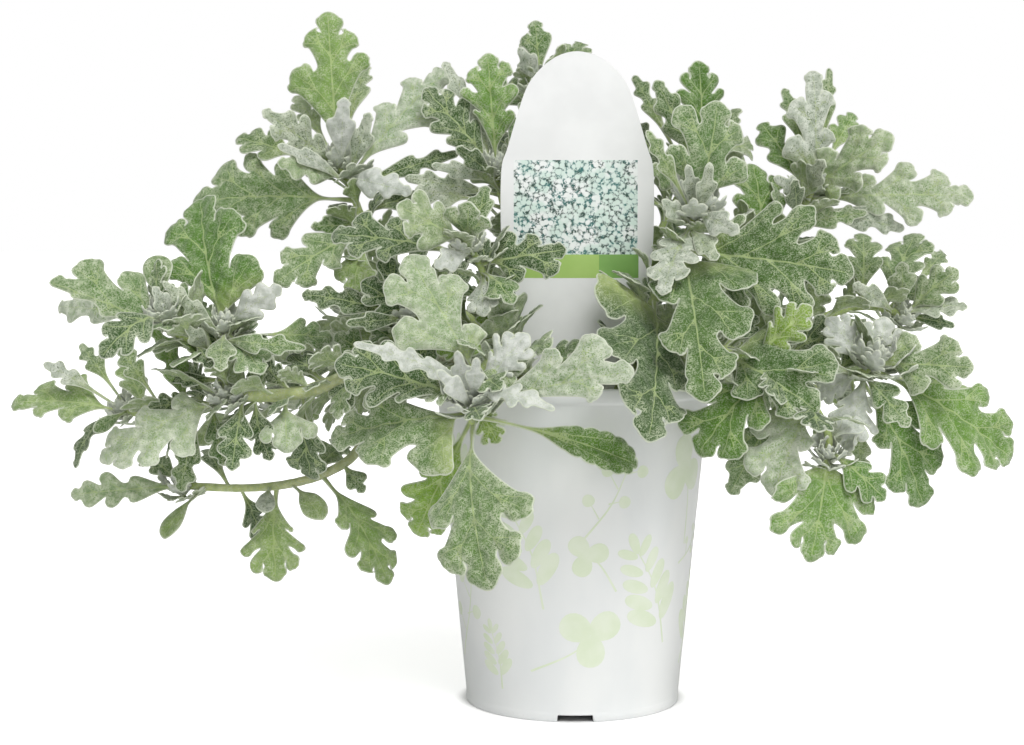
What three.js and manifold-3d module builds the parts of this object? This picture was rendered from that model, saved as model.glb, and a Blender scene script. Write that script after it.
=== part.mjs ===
// Potted artemisia: a nursery pot, its soil, a plain plant label and the leafy shoots.
// Millimetres, +Z up, the origin at the middle of the pot's base; -Y is the front.
import * as THREE from "three";
import { mergeVertices } from "three/addons/utils/BufferGeometryUtils.js";
import Module from "manifold-3d";

const wasm = await Module();
wasm.setup();

// Pot
const POT_HEIGHT = 131.5;
const FOOT_RADIUS = 43;
const WALL_SLOPE = 0.096;
const WALL = 1.2;
const RIM_RADIUS = 56;
const RIM_HEIGHT = 6;
const FLOOR_TOP = 4.6;
const RECESS_HEIGHT = 3;
const CENTRE_PAD_RADIUS = 14;
const FOOT_RING_WIDTH = 5;
const FOOT_STEP = 3.3;
const FOOT_LIP = 0.5;
const SHOULDER = 0.4;
const RIM_CORNER = 0.8;
const DRAIN_COUNT = 3;
const DRAIN_WIDTH = 14;
const DRAIN_HEIGHT = 2.7;
const DRAIN_LENGTH = 9;
const DRAIN_MIDDLE = 1.5;
const OUTLET_LENGTH = 5;
const OUTLET_SHARE = 0.6;
const OUTLET_INSET = 4;
const POT_SIDES = 26;

// Soil and label
const SOIL_TOP = 113.5;
const SOIL_SIDES = 14;
const SOIL_MOUND = 0.8;
const SOIL_WAVE = 0.7;
const TOUCH_GAP = 0.3;
const ROOT_DEPTH = 20;
const ROOT_RISE = 6;
const HOLE_RISE = 9;
const HOLE_MARGIN = 0.9;
const HOLE_SIDES = 5;
const LABEL_THICKNESS = 0.8;
const LABEL_DEPTH = -18;
const LABEL_FOOT = 66;
const LABEL_MIDDLE = 2;
const STAKE_HALF = 5;
const STAKE_POINT = 8;
// The left half of the label's outline as it shows, top to bottom, and the line it is mirrored at.
const LABEL_OUTLINE = [[1.7, 258.5], [-5, 257.2], [-10.8, 253.8], [-15.4, 249.2], [-18.8, 244],
  [-27, 218.5], [-28.7, 213.5], [-28.3, 172], [-26.6, 165.5], [-22.5, 160], [-20, 143], [-10, 111]];
const LABEL_MIRROR = 1.7;
// Heights that the label's face is guarded over, the step, and its half widths there.
const GUARD_LOW = 130;
const GUARD_HIGH = 256;
const GUARD_STEP = [5, 6];
const GUARD_HALF = 27.5;
const GUARD_NECK = { below: 160, half: 10, from: 110, slope: 0.35 };
const GUARD_ARCH = { above: 236, top: 262, slope: 1.1 };

// Leaves and stems
const BLADE = 0.8;
const PETIOLE_HALF = 0.8;
const STEM_SIDES = 5;
const BRANCH_END_RADIUS = 1;
const BROAD_LOBE = 5;
const WIDE_LEAF = 26;
const BROAD_END = 3.4;
const PERCH_STEP = 0.5;
const PERCH_APART = 0.8;
const LOBE_LEAN = 0.85;
const LOBE_FILL = 0.44;
const LOBE_ROUND = 0.55;
const LEAST_LOBE = 0.8;
const LOWEST_FOOT = 0.1;
const END_SHARE = 0.56;
const END_BACK = 0.8;
const LOW_SHOULDER = [0.86, 0.95];
const HIGH_SHOULDER = [0.96, 0.7];
const LAST_LOBE = 0.88;
const SINUS_DEPTH = 0.62;
const CURL = 0.16;
const WAVE_SPEED = 9;
const WAVE_SLIP = 1.7;
const TWIST_START = 0.3;
const RIB_SHARES = [0.45];
const WIDE_RIB_SHARES = [0.3, 0.65];
const DIP_SHARE = 1.6;
const DEPTH_SPREAD = 0.3;
const CLEARANCE = 3.2;
const SISTER_CLEARANCE = 1.8;
const SHIFT_STEP = 4;
const SHIFT_TRIES = 14;
const POT_CLEARANCE = 3;
const GOLDEN_ANGLE = 137.5;

// A leaf's traits as [middle, spread]: angles in degrees, the rest as shares of its length or half width.
const ROLL = [16, 14];
const BEND = [0.07, 0.035];
const FOLD = [12, 6];
const TWIST = [0, 16];
const WAVE = [0.09, 0.03];
const LOBE_SLIDE = [0, 0.025];
const LOBE_REACH = [0.96, 0.12];

// The eye that the shoots' places are seen from: a place [x, z] is where it shows on the plane y = 0,
// with z from the pot's inner floor.
const EYE = new THREE.Vector3(-24.7, -856, 195 + FLOOR_TOP);
const UP = new THREE.Vector3(0, 0, 1);

const rad = THREE.MathUtils.degToRad;
const clamp = THREE.MathUtils.clamp;

function seen(x, z, depth) {
  const share = (depth - EYE.y) / -EYE.y;
  return new THREE.Vector3(x, 0, z + FLOOR_TOP).sub(EYE).multiplyScalar(share).add(EYE);
}

// A repeatable number from 0 to 1 for leaf number leaf and trait number trait.
function draw(leaf, trait) {
  const x = Math.sin(leaf * 12.9898 + trait * 78.233) * 43758.5453;
  return x - Math.floor(x);
}

function drawAround([middle, spread], leaf, trait) {
  return middle + (draw(leaf, trait) - 0.5) * 2 * spread;
}

// Leaf forms: where the blade starts along the midrib, the lobes as [along, across], and the end lobe's
// half width.
const FORMS = {
  oak: { start: 0.2, lobes: [[0.5, 0.72], [0.7, 1], [0.86, 0.74]], end: 0.38 },
  oak2: { start: 0.24, lobes: [[0.6, 0.92], [0.82, 0.86]], end: 0.42 },
  trio: { start: 0.3, lobes: [[0.76, 0.95]], end: 0.5 },
  stalked: { start: 0.48, lobes: [[0.72, 0.88], [0.87, 0.8]], end: 0.42 },
  feather: { start: 0.18, lobes: [[0.45, 0.75], [0.63, 1], [0.8, 0.8]], end: 0.32 },
  spoon: { start: 0.35, lobes: [], end: 1 },
};
// A spoon leaf's side as [along, across].
const SPOON_SIDE = [[0.58, 0.8], [0.8, 1], [0.94, 0.66]];

// Each shoot: its root as [bearing in degrees, distance from the pot's axis], its stem's radii, its stem
// and branches as [x, z, depth], and its leaves as [base x, base z, tip x, tip z, width, tip depth less
// base depth, form, more]. Places are as seen from the eye; lobes are lobe tips where the form's own
// don't serve.
const SHOOTS = [
  {name: "shoot_top_left", root: [172, 14], radius: [2.2, 1.3],
    stem: [[-24, 134, 0], [-50, 157, 0], [-75, 173, 3], [-84, 188, 7], [-88, 199, 10], [-95, 214, 14]],
    branches: [],
    leaves: [
      [-94, 213, -98.6, 274.5, 32, 6, "oak", {lobes: [[-87, 265], [-82, 257], [-107, 265],
        [-113, 250]]}],
      [-94, 214, -83, 253, 12, 14, "stalked", {}],
      [-95, 214, -112, 241, 12, 12, "stalked", {}],
      [-95, 213, -125, 235, 16, -8, "feather", {roll: 10}],
      [-94, 212, -92, 240, 12, -8, "trio", {}],
      [-94, 211, -136, 224, 15, 16, "stalked", {}],
      [-92, 207, -119, 214, 12, -20, "oak2", {}],
      [-88, 199, -154, 198, 33, 2, "oak", {roll: 22, lobes: [[-143, 214], [-132, 216],
        [-119, 212], [-142, 186], [-131, 183], [-118, 183]]}],
      [-84, 187, -89, 160, 18, -8, "trio", {}],
      [-84, 186, -121, 165, 20, -12, "oak2", {bend: 0.14}],
      [-93, 211, -65, 202, 12, -14, "oak2", {bend: 0.16}],
      [-93, 210, -50, 251, 28, 18, "oak", {lobes: [[-65, 248], [-55, 227], [-76, 238], [-68, 222]]}],
      [-86, 193, -62, 201, 11, 12, "trio", {}]]},
  {name: "shoot_centre_left", root: [215, 20], radius: [2.0, 1.2],
    stem: [[-21, 130, -24], [-28, 152, -36], [-36, 169, -43], [-42, 181, -46]],
    branches: [],
    leaves: [
      [-42, 180, -71, 197, 22, -6, "oak2", {}],
      [-42, 180, -42, 198, 18, -10, "trio", {}],
      [-41, 179, -56, 172, 11, -12, "trio", {}],
      [-40, 178, -35, 205, 11, 6, "trio", {}],
      [-38, 173, -2.5, 179, 19, -10, "oak", {lobes: [[-24, 186], [-15, 185], [-6, 169], [-20, 166]]}],
      [-37, 171, -24, 157, 12, -12, "trio", {}],
      [-37, 170, -36, 152, 14, -14, "oak2", {}],
      [-24, 141, -31, 158, 24, -16, "trio", {}],
      [-41, 180, -98, 185, 20, 14, "oak2", {roll: 25}]]},
  {name: "shoot_upper_centre", root: [120, 8], radius: [2.0, 1.2],
    stem: [[-8, 140, 8], [-20, 170, 10], [-28, 195, 10], [-31, 212, 10]],
    branches: [],
    leaves: [
      [-31, 211, -34.5, 258, 24, -2, "oak", {}],
      [-31, 210, -60, 244, 22, -10, "oak", {}],
      [-28, 196, -64, 203, 12, -10, "stalked", {}],
      [-30, 208, -12, 240, 15, 22, "oak2", {}],
      [-27, 190, -2, 214, 17, 26, "oak2", {}]]},
  {name: "shoot_back_centre", root: [80, 14], radius: [2.0, 1.2],
    stem: [[2, 145, 24], [-2, 185, 34], [-9, 222, 40], [-13, 246, 40]],
    branches: [],
    leaves: [
      [-13, 244, -15.5, 271, 13, 2, "trio", {}],
      [-12, 240, 4, 262, 13, 18, "oak2", {}],
      [-11, 232, -34, 246, 16, 24, "oak2", {}],
      [-9, 222, 16, 240, 20, 26, "oak2", {}],
      [-7, 212, -36, 224, 22, 34, "oak", {}],
      [-4, 197, 24, 212, 22, 34, "oak", {}],
      [-2, 185, -28, 190, 20, 36, "oak2", {}]]},
  {name: "shoot_front", root: [240, 27], radius: [2.3, 1.4],
    stem: [[-18, 129, -40], [-26, 139, -55], [-34, 134, -67], [-40, 122, -75], [-41, 109, -78]],
    branches: [],
    leaves: [
      [-39, 120, -18, 145, 22, -4, "oak", {}],
      [-40, 117, 25, 130, 28, -4, "oak", {lobes: [[-4, 139], [11, 145], [13, 119]]}],
      [-41, 112, 27, 91, 17, 8, "spoon", {}],
      [-41, 109, -34, 39.5, 42, -10, "oak", {lobes: [[-55, 67], [-50, 49], [-14, 64], [-18, 50]]}],
      [-41, 110, -64, 62, 28, 10, "oak", {}],
      [-38, 126, -67, 177, 36, 6, "oak", {lobes: [[-73, 145], [-77, 163], [-39, 148], [-47, 168]]}],
      [-40, 118, -97, 133, 28, 10, "oak", {roll: 20}],
      [-41, 110, -99, 102, 36, -2, "oak", {lobes: [[-84, 119], [-95, 111], [-57, 85], [-80, 89]]}]]},
  {name: "shoot_left", root: [190, 25], radius: [2.8, 2.0],
    stem: [[-35, 127, -10], [-56, 139, -18], [-80, 134, -22], [-100, 124, -22], [-118, 120, -22],
      [-140, 120, -20]],
    branches: [
      [[-140, 120, -20], [-142, 135, -22], [-141, 149, -22]],
      [[-142, 135, -22], [-153, 141, -27], [-162, 146, -33], [-168, 153, -38]],
      [[-138, 120, -20], [-157, 113, -1], [-172, 111, 18], [-183, 114, 34]]],
    leaves: [
      [-160, 145, -212, 166, 26, -8, "feather", {lobes: [[-180, 171], [-197, 175], [-181, 148],
        [-193, 153], [-204, 160]]}],
      [-168, 152, -209, 156, 14, 16, "oak2", {}],
      [-168, 152, -168, 177, 12, 4, "spoon", {}],
      [-167, 151, -192, 135, 18, -12, "oak2", {bend: 0.28}],
      [-157, 113, -170, 147, 11, -6, "oak2", {bend: 0.16}],
      [-165, 112, -184, 139, 12, 2, "stalked", {}],
      [-173, 111, -183, 134, 13, 12, "oak2", {}],
      [-182, 113, -228.5, 116.5, 19, 2, "oak", {lobes: [[-204, 125], [-217, 124], [-205, 107],
        [-216, 109]]}],
      [-140, 119, -193, 93, 24, -16, "feather", {lobes: [[-162, 117], [-177, 110], [-191, 103],
        [-160, 93], [-174, 88], [-187, 86]]}],
      [-146, 117, -173, 115, 11, -8, "oak2", {}],
      [-152, 115, -160, 80, 13, -4, "oak2", {}],
      [-147, 117, -142, 91, 11, -12, "oak2", {}],
      [-134, 120, -139, 89, 16, -12, "oak2", {}],
      [-130, 120, -123, 93, 12, -4, "oak2", {}],
      [-141, 148, -118, 164, 14, -8, "oak2", {}],
      [-141, 146, -143, 130, 12, -18, "trio", {}],
      [-141, 146, -126, 129, 20, -12, "oak2", {}],
      [-141, 146, -150, 200, 42, 12, "oak", {lobes: [[-161, 172], [-164, 187], [-124, 170],
        [-131, 188]]}],
      [-141, 145, -97, 143, 15, 12, "stalked", {}],
      [-117, 120, -116, 96, 26, -10, "trio", {}],
      [-110, 121, -106, 85, 20, 4, "oak2", {}],
      [-86, 131, -97, 113, 12, -4, "trio", {}]]},
  {name: "shoot_lower_left", root: [165, 25], radius: [2.2, 1.3],
    stem: [[-40, 130, 9], [-57, 137, 12], [-74, 122, 12], [-84, 103, 10], [-93, 92, 8], [-110, 85, 8],
      [-130, 82, 12], [-160, 83, 20]],
    branches: [],
    leaves: [
      [-157, 83, -205, 79, 15, -4, "oak", {}],
      [-121, 83, -121, 43, 26, -8, "oak", {}],
      [-102, 88, -75, 42, 20, -18, "oak", {roll: 40}],
      [-135, 82, -128, 62, 11, 16, "oak2", {}],
      [-108, 86, -92, 100, 14, 22, "oak2", {}]]},
  {name: "shoot_mid_left", root: [200, 15], radius: [1.8, 1.1],
    stem: [[-26, 128, -12], [-44, 142, -20], [-60, 149, -25], [-70, 153, -27]],
    branches: [],
    leaves: [
      [-60, 149, -86, 166, 24, -6, "oak2", {lobes: [[-75, 177], [-66, 165], [-82, 152], [-88, 159]]}],
      [-69, 153, -110, 161, 12, 2, "oak2", {}],
      [-52, 146, -66, 132, 14, -4, "oak2", {}]]},
  {name: "shoot_right_centre", root: [330, 23], radius: [2.2, 1.2],
    stem: [[26, 127, -22], [31, 155, -31], [43, 178, -35], [50, 196, -36]],
    branches: [],
    leaves: [
      [50, 196, 58, 239, 34, -2, "oak", {lobes: [[37, 222], [41, 237], [69, 214], [67, 228]]}],
      [50, 194, 67, 186, 12, -14, "trio", {}],
      [47, 190, 36, 161, 20, -14, "feather", {}],
      [43, 178, 114, 169, 44, -4, "oak", {lobes: [[70, 192], [84, 197], [97, 195], [106, 183],
        [72, 153], [83, 150], [97, 152], [107, 160]]}],
      [44, 180, 54, 117, 42, -24, "oak", {lobes: [[34, 152], [38, 133], [74, 161], [71, 142],
        [65, 128]]}],
      [32, 160, 31, 101, 40, -34, "oak", {lobes: [[4, 146], [10, 128], [18, 110], [46, 139],
        [45, 123], [42, 110]]}]]},
  {name: "shoot_right_upper", root: [50, 12], radius: [2.0, 1.2],
    stem: [[20, 150, 16], [36, 188, 24], [48, 210, 28], [53, 217, 30]],
    branches: [],
    leaves: [
      [50, 213, 50, 255, 22, 4, "oak", {}],
      [50, 212, 33, 247, 14, -8, "oak2", {}],
      [44, 202, 22, 232, 12, 20, "oak2", {}],
      [45, 204, 31, 212, 12, -12, "trio", {}],
      [52, 214, 72, 222, 16, 24, "oak2", {}],
      [40, 195, 12, 206, 20, 26, "oak2", {}]]},
  {name: "shoot_right_top", root: [10, 14], radius: [2.2, 1.3],
    stem: [[34, 141, 2], [60, 165, 4], [80, 182, 6], [92, 195, 9], [98, 206, 12]],
    branches: [],
    leaves: [
      [76, 178, 72, 214, 26, 12, "oak2", {}],
      [95, 201, 75, 230, 14, 10, "oak2", {}],
      [97, 205, 96, 251, 20, -4, "oak", {lobes: [[84, 222], [86, 237], [103, 226], [103, 241]]}],
      [98, 206, 113, 234, 13, 12, "stalked", {}],
      [97, 203, 129, 225, 28, -8, "oak", {lobes: [[104, 220], [116, 229], [110, 200], [120, 205],
        [129, 214]]}],
      [95, 199, 162, 200.5, 24, 6, "oak", {lobes: [[121, 208], [136, 213], [150, 209], [125, 192],
        [139, 188], [152, 193]]}],
      [84, 185, 102, 172, 16, 14, "oak2", {}]]},
  {name: "shoot_right", root: [15, 24], radius: [2.2, 1.4],
    stem: [[48, 137, 14], [72, 142, 18], [93, 147, 20], [113, 156, 24], [126, 155, 27], [134, 152, 29]],
    branches: [],
    leaves: [
      [117, 156, 117, 186, 18, 10, "oak2", {}],
      [126, 155, 139, 186, 20, 12, "oak2", {}],
      [134, 152, 156, 171, 16, -4, "oak2", {}],
      [133, 152, 133, 174, 12, -8, "trio", {}],
      [120, 156, 106, 172, 12, 16, "trio", {}],
      [100, 150, 92, 166, 14, 18, "oak2", {}],
      [108, 154, 118, 140, 12, 18, "oak2", {}]]},
  {name: "shoot_right_lower", root: [350, 27], radius: [2.2, 1.3],
    stem: [[40, 132, -16], [60, 136, -24], [85, 132, -31], [105, 128, -38], [118, 129, -43],
      [123, 134, -45]],
    branches: [],
    leaves: [
      [120, 131, 103, 152, 18, 4, "oak", {}],
      [118, 129, 98, 119, 14, 2, "oak2", {}],
      [123, 133, 127, 152, 17, 4, "trio", {}],
      [119, 130, 111, 98, 22, -8, "oak", {}],
      [123, 133, 163, 131, 24, -6, "oak", {lobes: [[140, 144], [156, 142], [144, 121], [158, 123]]}],
      [121, 131, 179, 93, 34, 6, "oak", {lobes: [[152, 125], [169, 120], [178, 108], [141, 97],
        [154, 86], [168, 88]]}],
      [121, 130, 137, 107, 14, -10, "oak2", {}],
      [119, 129, 143, 74, 30, -4, "oak", {lobes: [[144, 109], [150, 93], [123, 99], [127, 82]]}]]},
  {name: "shoot_right_front", root: [305, 27], radius: [2.2, 1.4],
    stem: [[34, 133, -36], [56, 139, -47], [78, 132, -55], [95, 119, -60], [104, 104, -62],
      [104, 96, -62]],
    branches: [],
    leaves: [
      [59, 139, 100, 113, 36, -8, "oak", {roll: 20, lobes: [[92, 151], [106, 134], [73, 116],
        [89, 109]]}],
      [80, 130, 51, 95, 30, -8, "oak", {lobes: [[43, 107], [53, 120], [68, 93], [78, 104]]}],
      [88, 125, 64, 79, 17, 6, "oak2", {}],
      [97, 116, 82, 78, 36, -12, "oak", {lobes: [[73, 107], [71, 91], [97, 96], [95, 80]]}],
      [104, 97, 97, 51, 44, -12, "oak", {lobes: [[80, 76], [79, 63], [87, 54], [108, 54],
        [119, 60], [122, 73]]}],
      [104, 98, 128, 77, 16, 4, "oak2", {}],
      [104, 102, 118, 110, 11, 10, "trio", {}]]},
];

// Shoots at the back, placed by rule: [name, root bearing, root distance, tip as x, y, z, leaves].
const BACK_SHOOTS = [
  ["shoot_back_left", 140, 26, [-100, 110, 155], 7],
  ["shoot_back_middle", 100, 26, [-14, 132, 177], 8],
  ["shoot_back_right", 62, 26, [90, 110, 157], 7],
  ["shoot_back_low_left", 158, 38, [-128, 60, 117], 5],
  ["shoot_back_low_middle", 115, 38, [-40, 140, 105], 5],
  ["shoot_back_low_right", 35, 36, [122, 64, 117], 5],
];
const BACK_LEAF = 50;
const BACK_WIDTH = 0.52;
const BACK_ARCH = 26;
const BACK_RADIUS = [2.2, 1.3];

// Stem lines: a smooth curve through the given places, as points with radii.
function stemLine(places, from, to) {
  const curve = new THREE.CatmullRomCurve3(places, false, "centripetal");
  const steps = places.length + 1;
  return curve.getPoints(steps).map((at, i) => ({ at, radius: from + ((to - from) * i) / steps }));
}

function rootPlace([bearing, distance], height) {
  const x = distance * Math.cos(rad(bearing));
  const y = distance * Math.sin(rad(bearing));
  return new THREE.Vector3(x, y, SOIL_TOP + height);
}

// A stem from the foot of its hole, straight up through the soil and on through its places.
function mainLine(root, places, from, to) {
  const foot = { at: rootPlace(root, -ROOT_DEPTH), radius: from };
  return [foot, ...stemLine([rootPlace(root, ROOT_RISE), ...places], from, to)];
}

function linesOf(shoot) {
  const [from, to] = shoot.radius;
  const place = ([x, z, y]) => seen(x, z, y);
  const main = mainLine(shoot.root, shoot.stem.map(place), from, to);
  const rest = shoot.branches.map((branch) => stemLine(branch.map(place), to, BRANCH_END_RADIUS));
  return [main, ...rest];
}

// Places along the shoot's lines above the soil, from the root outwards.
function perchesOf(lines) {
  const perches = [];
  for (const line of lines) {
    for (let i = 1; i < line.length; i++) {
      const length = line[i - 1].at.distanceTo(line[i].at);
      const count = Math.max(1, Math.round(length / PERCH_STEP));
      for (let k = 0; k < count; k++) {
        const at = line[i - 1].at.clone().lerp(line[i].at, k / count);
        const outside = Math.hypot(at.x, at.y) > RIM_RADIUS + POT_CLEARANCE;
        if (outside || at.z > SOIL_TOP + ROOT_RISE - 1) perches.push({ at, taken: false });
      }
    }
  }
  return perches;
}

// The free perch that shows nearest to [x, z]; the perches beside it are taken with it.
function perchSeenAt(perches, x, z) {
  let best = null;
  for (const perch of perches) {
    if (perch.taken) continue;
    const gap = perch.at.distanceTo(seen(x, z, perch.at.y));
    if (!best || gap < best.gap - 1e-9) best = { at: perch.at, gap };
  }
  for (const perch of perches) {
    if (perch.at.distanceTo(best.at) < PERCH_APART) perch.taken = true;
  }
  return best.at;
}

// A leaf's own frame: along runs from base to tip, face is the way its upper side looks, side is its right.
function leafFrame(leaf) {
  const along = leaf.tip.clone().sub(leaf.base);
  const length = along.length();
  along.normalize();
  const middle = leaf.base.clone().lerp(leaf.tip, 0.5);
  const look = leaf.look ? leaf.look.clone() : EYE.clone().sub(middle).normalize();
  const face = look.addScaledVector(along, -look.dot(along)).normalize();
  const side = along.clone().cross(face);
  const upward = side.z + side.x * 0.35 * Math.sign(middle.x);
  const turn = rad(leaf.roll) * (upward < 0 ? -1 : 1);
  const turned = face.clone().multiplyScalar(Math.cos(turn)).addScaledVector(side, Math.sin(turn));
  return { along, length, face: turned, side: along.clone().cross(turned) };
}

// The point of a leaf's middle surface at y along the midrib and x across, lifted by h.
function surfacePoint(leaf, frame, y, x, h) {
  const t = y / frame.length;
  const rise = leaf.bend * frame.length;
  const at = leaf.base
    .clone()
    .addScaledVector(frame.along, y)
    .addScaledVector(frame.face, rise * 4 * t * (1 - t));
  const tangent = frame.along.clone().addScaledVector(frame.face, leaf.bend * 4 * (1 - 2 * t)).normalize();
  const up = frame.face.clone().addScaledVector(tangent, -frame.face.dot(tangent)).normalize();
  const twist = rad(leaf.twist) * (t - TWIST_START);
  const side = tangent.clone().cross(up);
  const acrossWay = side.clone().multiplyScalar(Math.cos(twist)).addScaledVector(up, Math.sin(twist));
  const upWay = up.clone().multiplyScalar(Math.cos(twist)).addScaledVector(side, -Math.sin(twist));
  const half = leaf.width / 2;
  const out = Math.min(Math.abs(x) / half, 1.3);
  const wave = Math.sin(leaf.phase + WAVE_SPEED * t + (x > 0 ? WAVE_SLIP : 0));
  const ripple = leaf.wave * half * wave * out;
  const lift = Math.abs(x) * Math.sin(rad(leaf.fold)) - (CURL * x * x) / half + ripple;
  return at.addScaledVector(acrossWay, x * Math.cos(rad(leaf.fold))).addScaledVector(upWay, lift + h);
}

// One side of a leaf's outline, from base to tip, as [y, x] with x from the midrib outwards.
function sideOutline(lobes, start, end, length, half) {
  if (!lobes.length) {
    const side = SPOON_SIDE.map(([u, v]) => [u * length, v * half]);
    return [[0, PETIOLE_HALF], [start * length, PETIOLE_HALF * 1.4], ...side];
  }
  const tips = lobes.map(([u, v]) => {
    const y = u * length;
    const x = v * half;
    const foot = Math.max(y - LOBE_LEAN * x, LOWEST_FOOT * length);
    const reach = Math.hypot(x, y - foot);
    return { y, x, foot, reach, way: [(y - foot) / reach, x / reach] };
  });
  const endHalf = Math.min(end * half, END_SHARE * tips.at(-1).x);
  const endSide = { y: length - END_BACK * endHalf, x: endHalf };
  const room = (tip, next, axis) =>
    LOBE_FILL * ((next.y - tip.y) * axis.way[1] - (next.x - tip.x) * axis.way[0]);
  const bladeStart = clamp(tips[0].foot - 0.04 * length, 0.06 * length, start * length);
  const points = [[0, PETIOLE_HALF], [bladeStart, PETIOLE_HALF * 1.5]];
  tips.forEach((tip, i) => {
    const following = tips[i + 1];
    const ahead = following ? room(tip, following, tip) : 2 * room(tip, endSide, tip);
    const behind = i ? room(tips[i - 1], tip, tip) : ahead;
    const below = clamp(behind, LEAST_LOBE, LOBE_ROUND * tip.x);
    const above = clamp(ahead, LEAST_LOBE, LOBE_ROUND * tip.x);
    const [wy, wx] = tip.way;
    const at = (along, out) => [
      tip.foot + wy * along * tip.reach + wx * out,
      wx * along * tip.reach - wy * out,
    ];
    if (below + above > 2 * BROAD_LOBE) {
      points.push(at(LOW_SHOULDER[0], -LOW_SHOULDER[1] * below));
      points.push(at(HIGH_SHOULDER[0], HIGH_SHOULDER[1] * above));
    } else {
      points.push([tip.y, tip.x]);
    }
    const reach = Math.min(tip.reach, following ? following.reach : 2 * endHalf);
    const inward = SINUS_DEPTH * reach;
    const next = following ?? { foot: length + tip.x * 0.2, way: tip.way };
    const highest = following ? length : length - endHalf * 1.4;
    const sinusY = (tip.foot + next.foot + (wy + next.way[0]) * inward) / 2;
    const sinusX = ((wx + next.way[1]) * inward) / 2;
    points.push([Math.min(sinusY, highest), Math.max(sinusX, PETIOLE_HALF)]);
  });
  if (endHalf > BROAD_END) points.push([length - endHalf * 1.1, endHalf]);
  return points;
}

function lobesOf(leaf, sign) {
  if (leaf.lobes) {
    const ends = [leaf.seenTip[0] - leaf.seenBase[0], leaf.seenTip[1] - leaf.seenBase[1]];
    const length = Math.hypot(...ends);
    const way = ends.map((value) => value / length);
    const halfWidth = leaf.seenWidth / 2;
    return leaf.lobes
      .map(([x, z]) => [x - leaf.seenBase[0], z - leaf.seenBase[1]])
      .map(([x, z]) => [(x * way[0] + z * way[1]) / length, (x * way[1] - z * way[0]) / halfWidth])
      .filter(([, v]) => v * sign > 0)
      .map(([u, v]) => [Math.min(u, LAST_LOBE), Math.abs(v)])
      .sort((a, b) => a[0] - b[0]);
  }
  return FORMS[leaf.form].lobes.map(([u, v], i) => [
    u + drawAround(LOBE_SLIDE, leaf.number, 20 + i * 2 + sign),
    v * drawAround(LOBE_REACH, leaf.number, 40 + i * 2 + sign),
  ]);
}

function outlineOf(leaf, length, sign) {
  const { start, end } = FORMS[leaf.form];
  return sideOutline(lobesOf(leaf, sign), start, end, length, leaf.width / 2);
}

// Solids
function solidOf(vertices, triangles) {
  const mesh = new wasm.Mesh({
    numProp: 3,
    vertProperties: new Float32Array(vertices.flatMap((v) => [v.x, v.y, v.z])),
    triVerts: new Uint32Array(triangles.flat()),
  });
  return new wasm.Manifold(mesh);
}

function solidOfGeometry(geometry) {
  geometry.deleteAttribute("normal");
  geometry.deleteAttribute("uv");
  const merged = mergeVertices(geometry, 1e-4);
  const mesh = new wasm.Mesh({
    numProp: 3,
    vertProperties: merged.attributes.position.array,
    triVerts: new Uint32Array(merged.index.array),
  });
  return new wasm.Manifold(mesh);
}

function geometryOf(solid) {
  const { vertProperties, triVerts } = solid.getMesh();
  const geometry = new THREE.BufferGeometry();
  geometry.setAttribute("position", new THREE.BufferAttribute(vertProperties, 3));
  geometry.setIndex(new THREE.BufferAttribute(triVerts, 1));
  return geometry;
}

// Triangles of a flat ring of the blade's points; both faces use the same ones.
function trianglesOf(flat, ring) {
  const contour = ring.map((index) => new THREE.Vector2(flat[index][1], flat[index][0]));
  return THREE.ShapeUtils.triangulateShape(contour, []).map(([a, b, c]) => {
    const area = THREE.ShapeUtils.area([contour[a], contour[b], contour[c]]);
    return (area > 0 ? [a, b, c] : [a, c, b]).map((i) => ring[i]);
  });
}

function bladeSolid(leaf) {
  const frame = leafFrame(leaf);
  const right = outlineOf(leaf, frame.length, 1);
  const left = outlineOf(leaf, frame.length, -1).map(([y, x]) => [y, -x]);
  const ribs = leaf.width > WIDE_LEAF ? WIDE_RIB_SHARES : RIB_SHARES;
  const ribPoints = ribs.map((u) => [right[1][0] + u * (frame.length - right[1][0]), 0]);
  const flat = [[right[1][0] + 0.5, 0], ...right, [frame.length, 0], ...left, ...ribPoints];
  const tip = right.length + 1;
  const rightRing = right.map((_, i) => 1 + i);
  const leftRing = left.map((_, i) => tip + 1 + i);
  const ribRing = ribs.map((_, i) => tip + left.length + 1 + i);
  const rightHalf = [0, ...rightRing.slice(1), tip, ...ribRing.toReversed()];
  const leftHalf = [0, ...leftRing.slice(1), tip, ...ribRing.toReversed()];
  const petiole = [rightRing[0], rightRing[1], 0, leftRing[1], leftRing[0]];
  const faces = [rightHalf, leftHalf, petiole].flatMap((ring) => trianglesOf(flat, ring));
  const count = flat.length;
  const top = flat.map(([y, x]) => surfacePoint(leaf, frame, y, x, BLADE / 2));
  const under = flat.map(([y, x]) => surfacePoint(leaf, frame, y, x, -BLADE / 2));
  const triangles = [
    ...faces,
    ...faces.map(([a, b, c]) => [a + count, c + count, b + count]),
  ];
  const edge = [...rightRing, tip, ...leftRing.toReversed()];
  edge.forEach((a, i) => {
    const b = edge[(i + 1) % edge.length];
    triangles.push([a, b + count, b], [a, a + count, b + count]);
  });
  return solidOf([...top, ...under], triangles);
}

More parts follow.
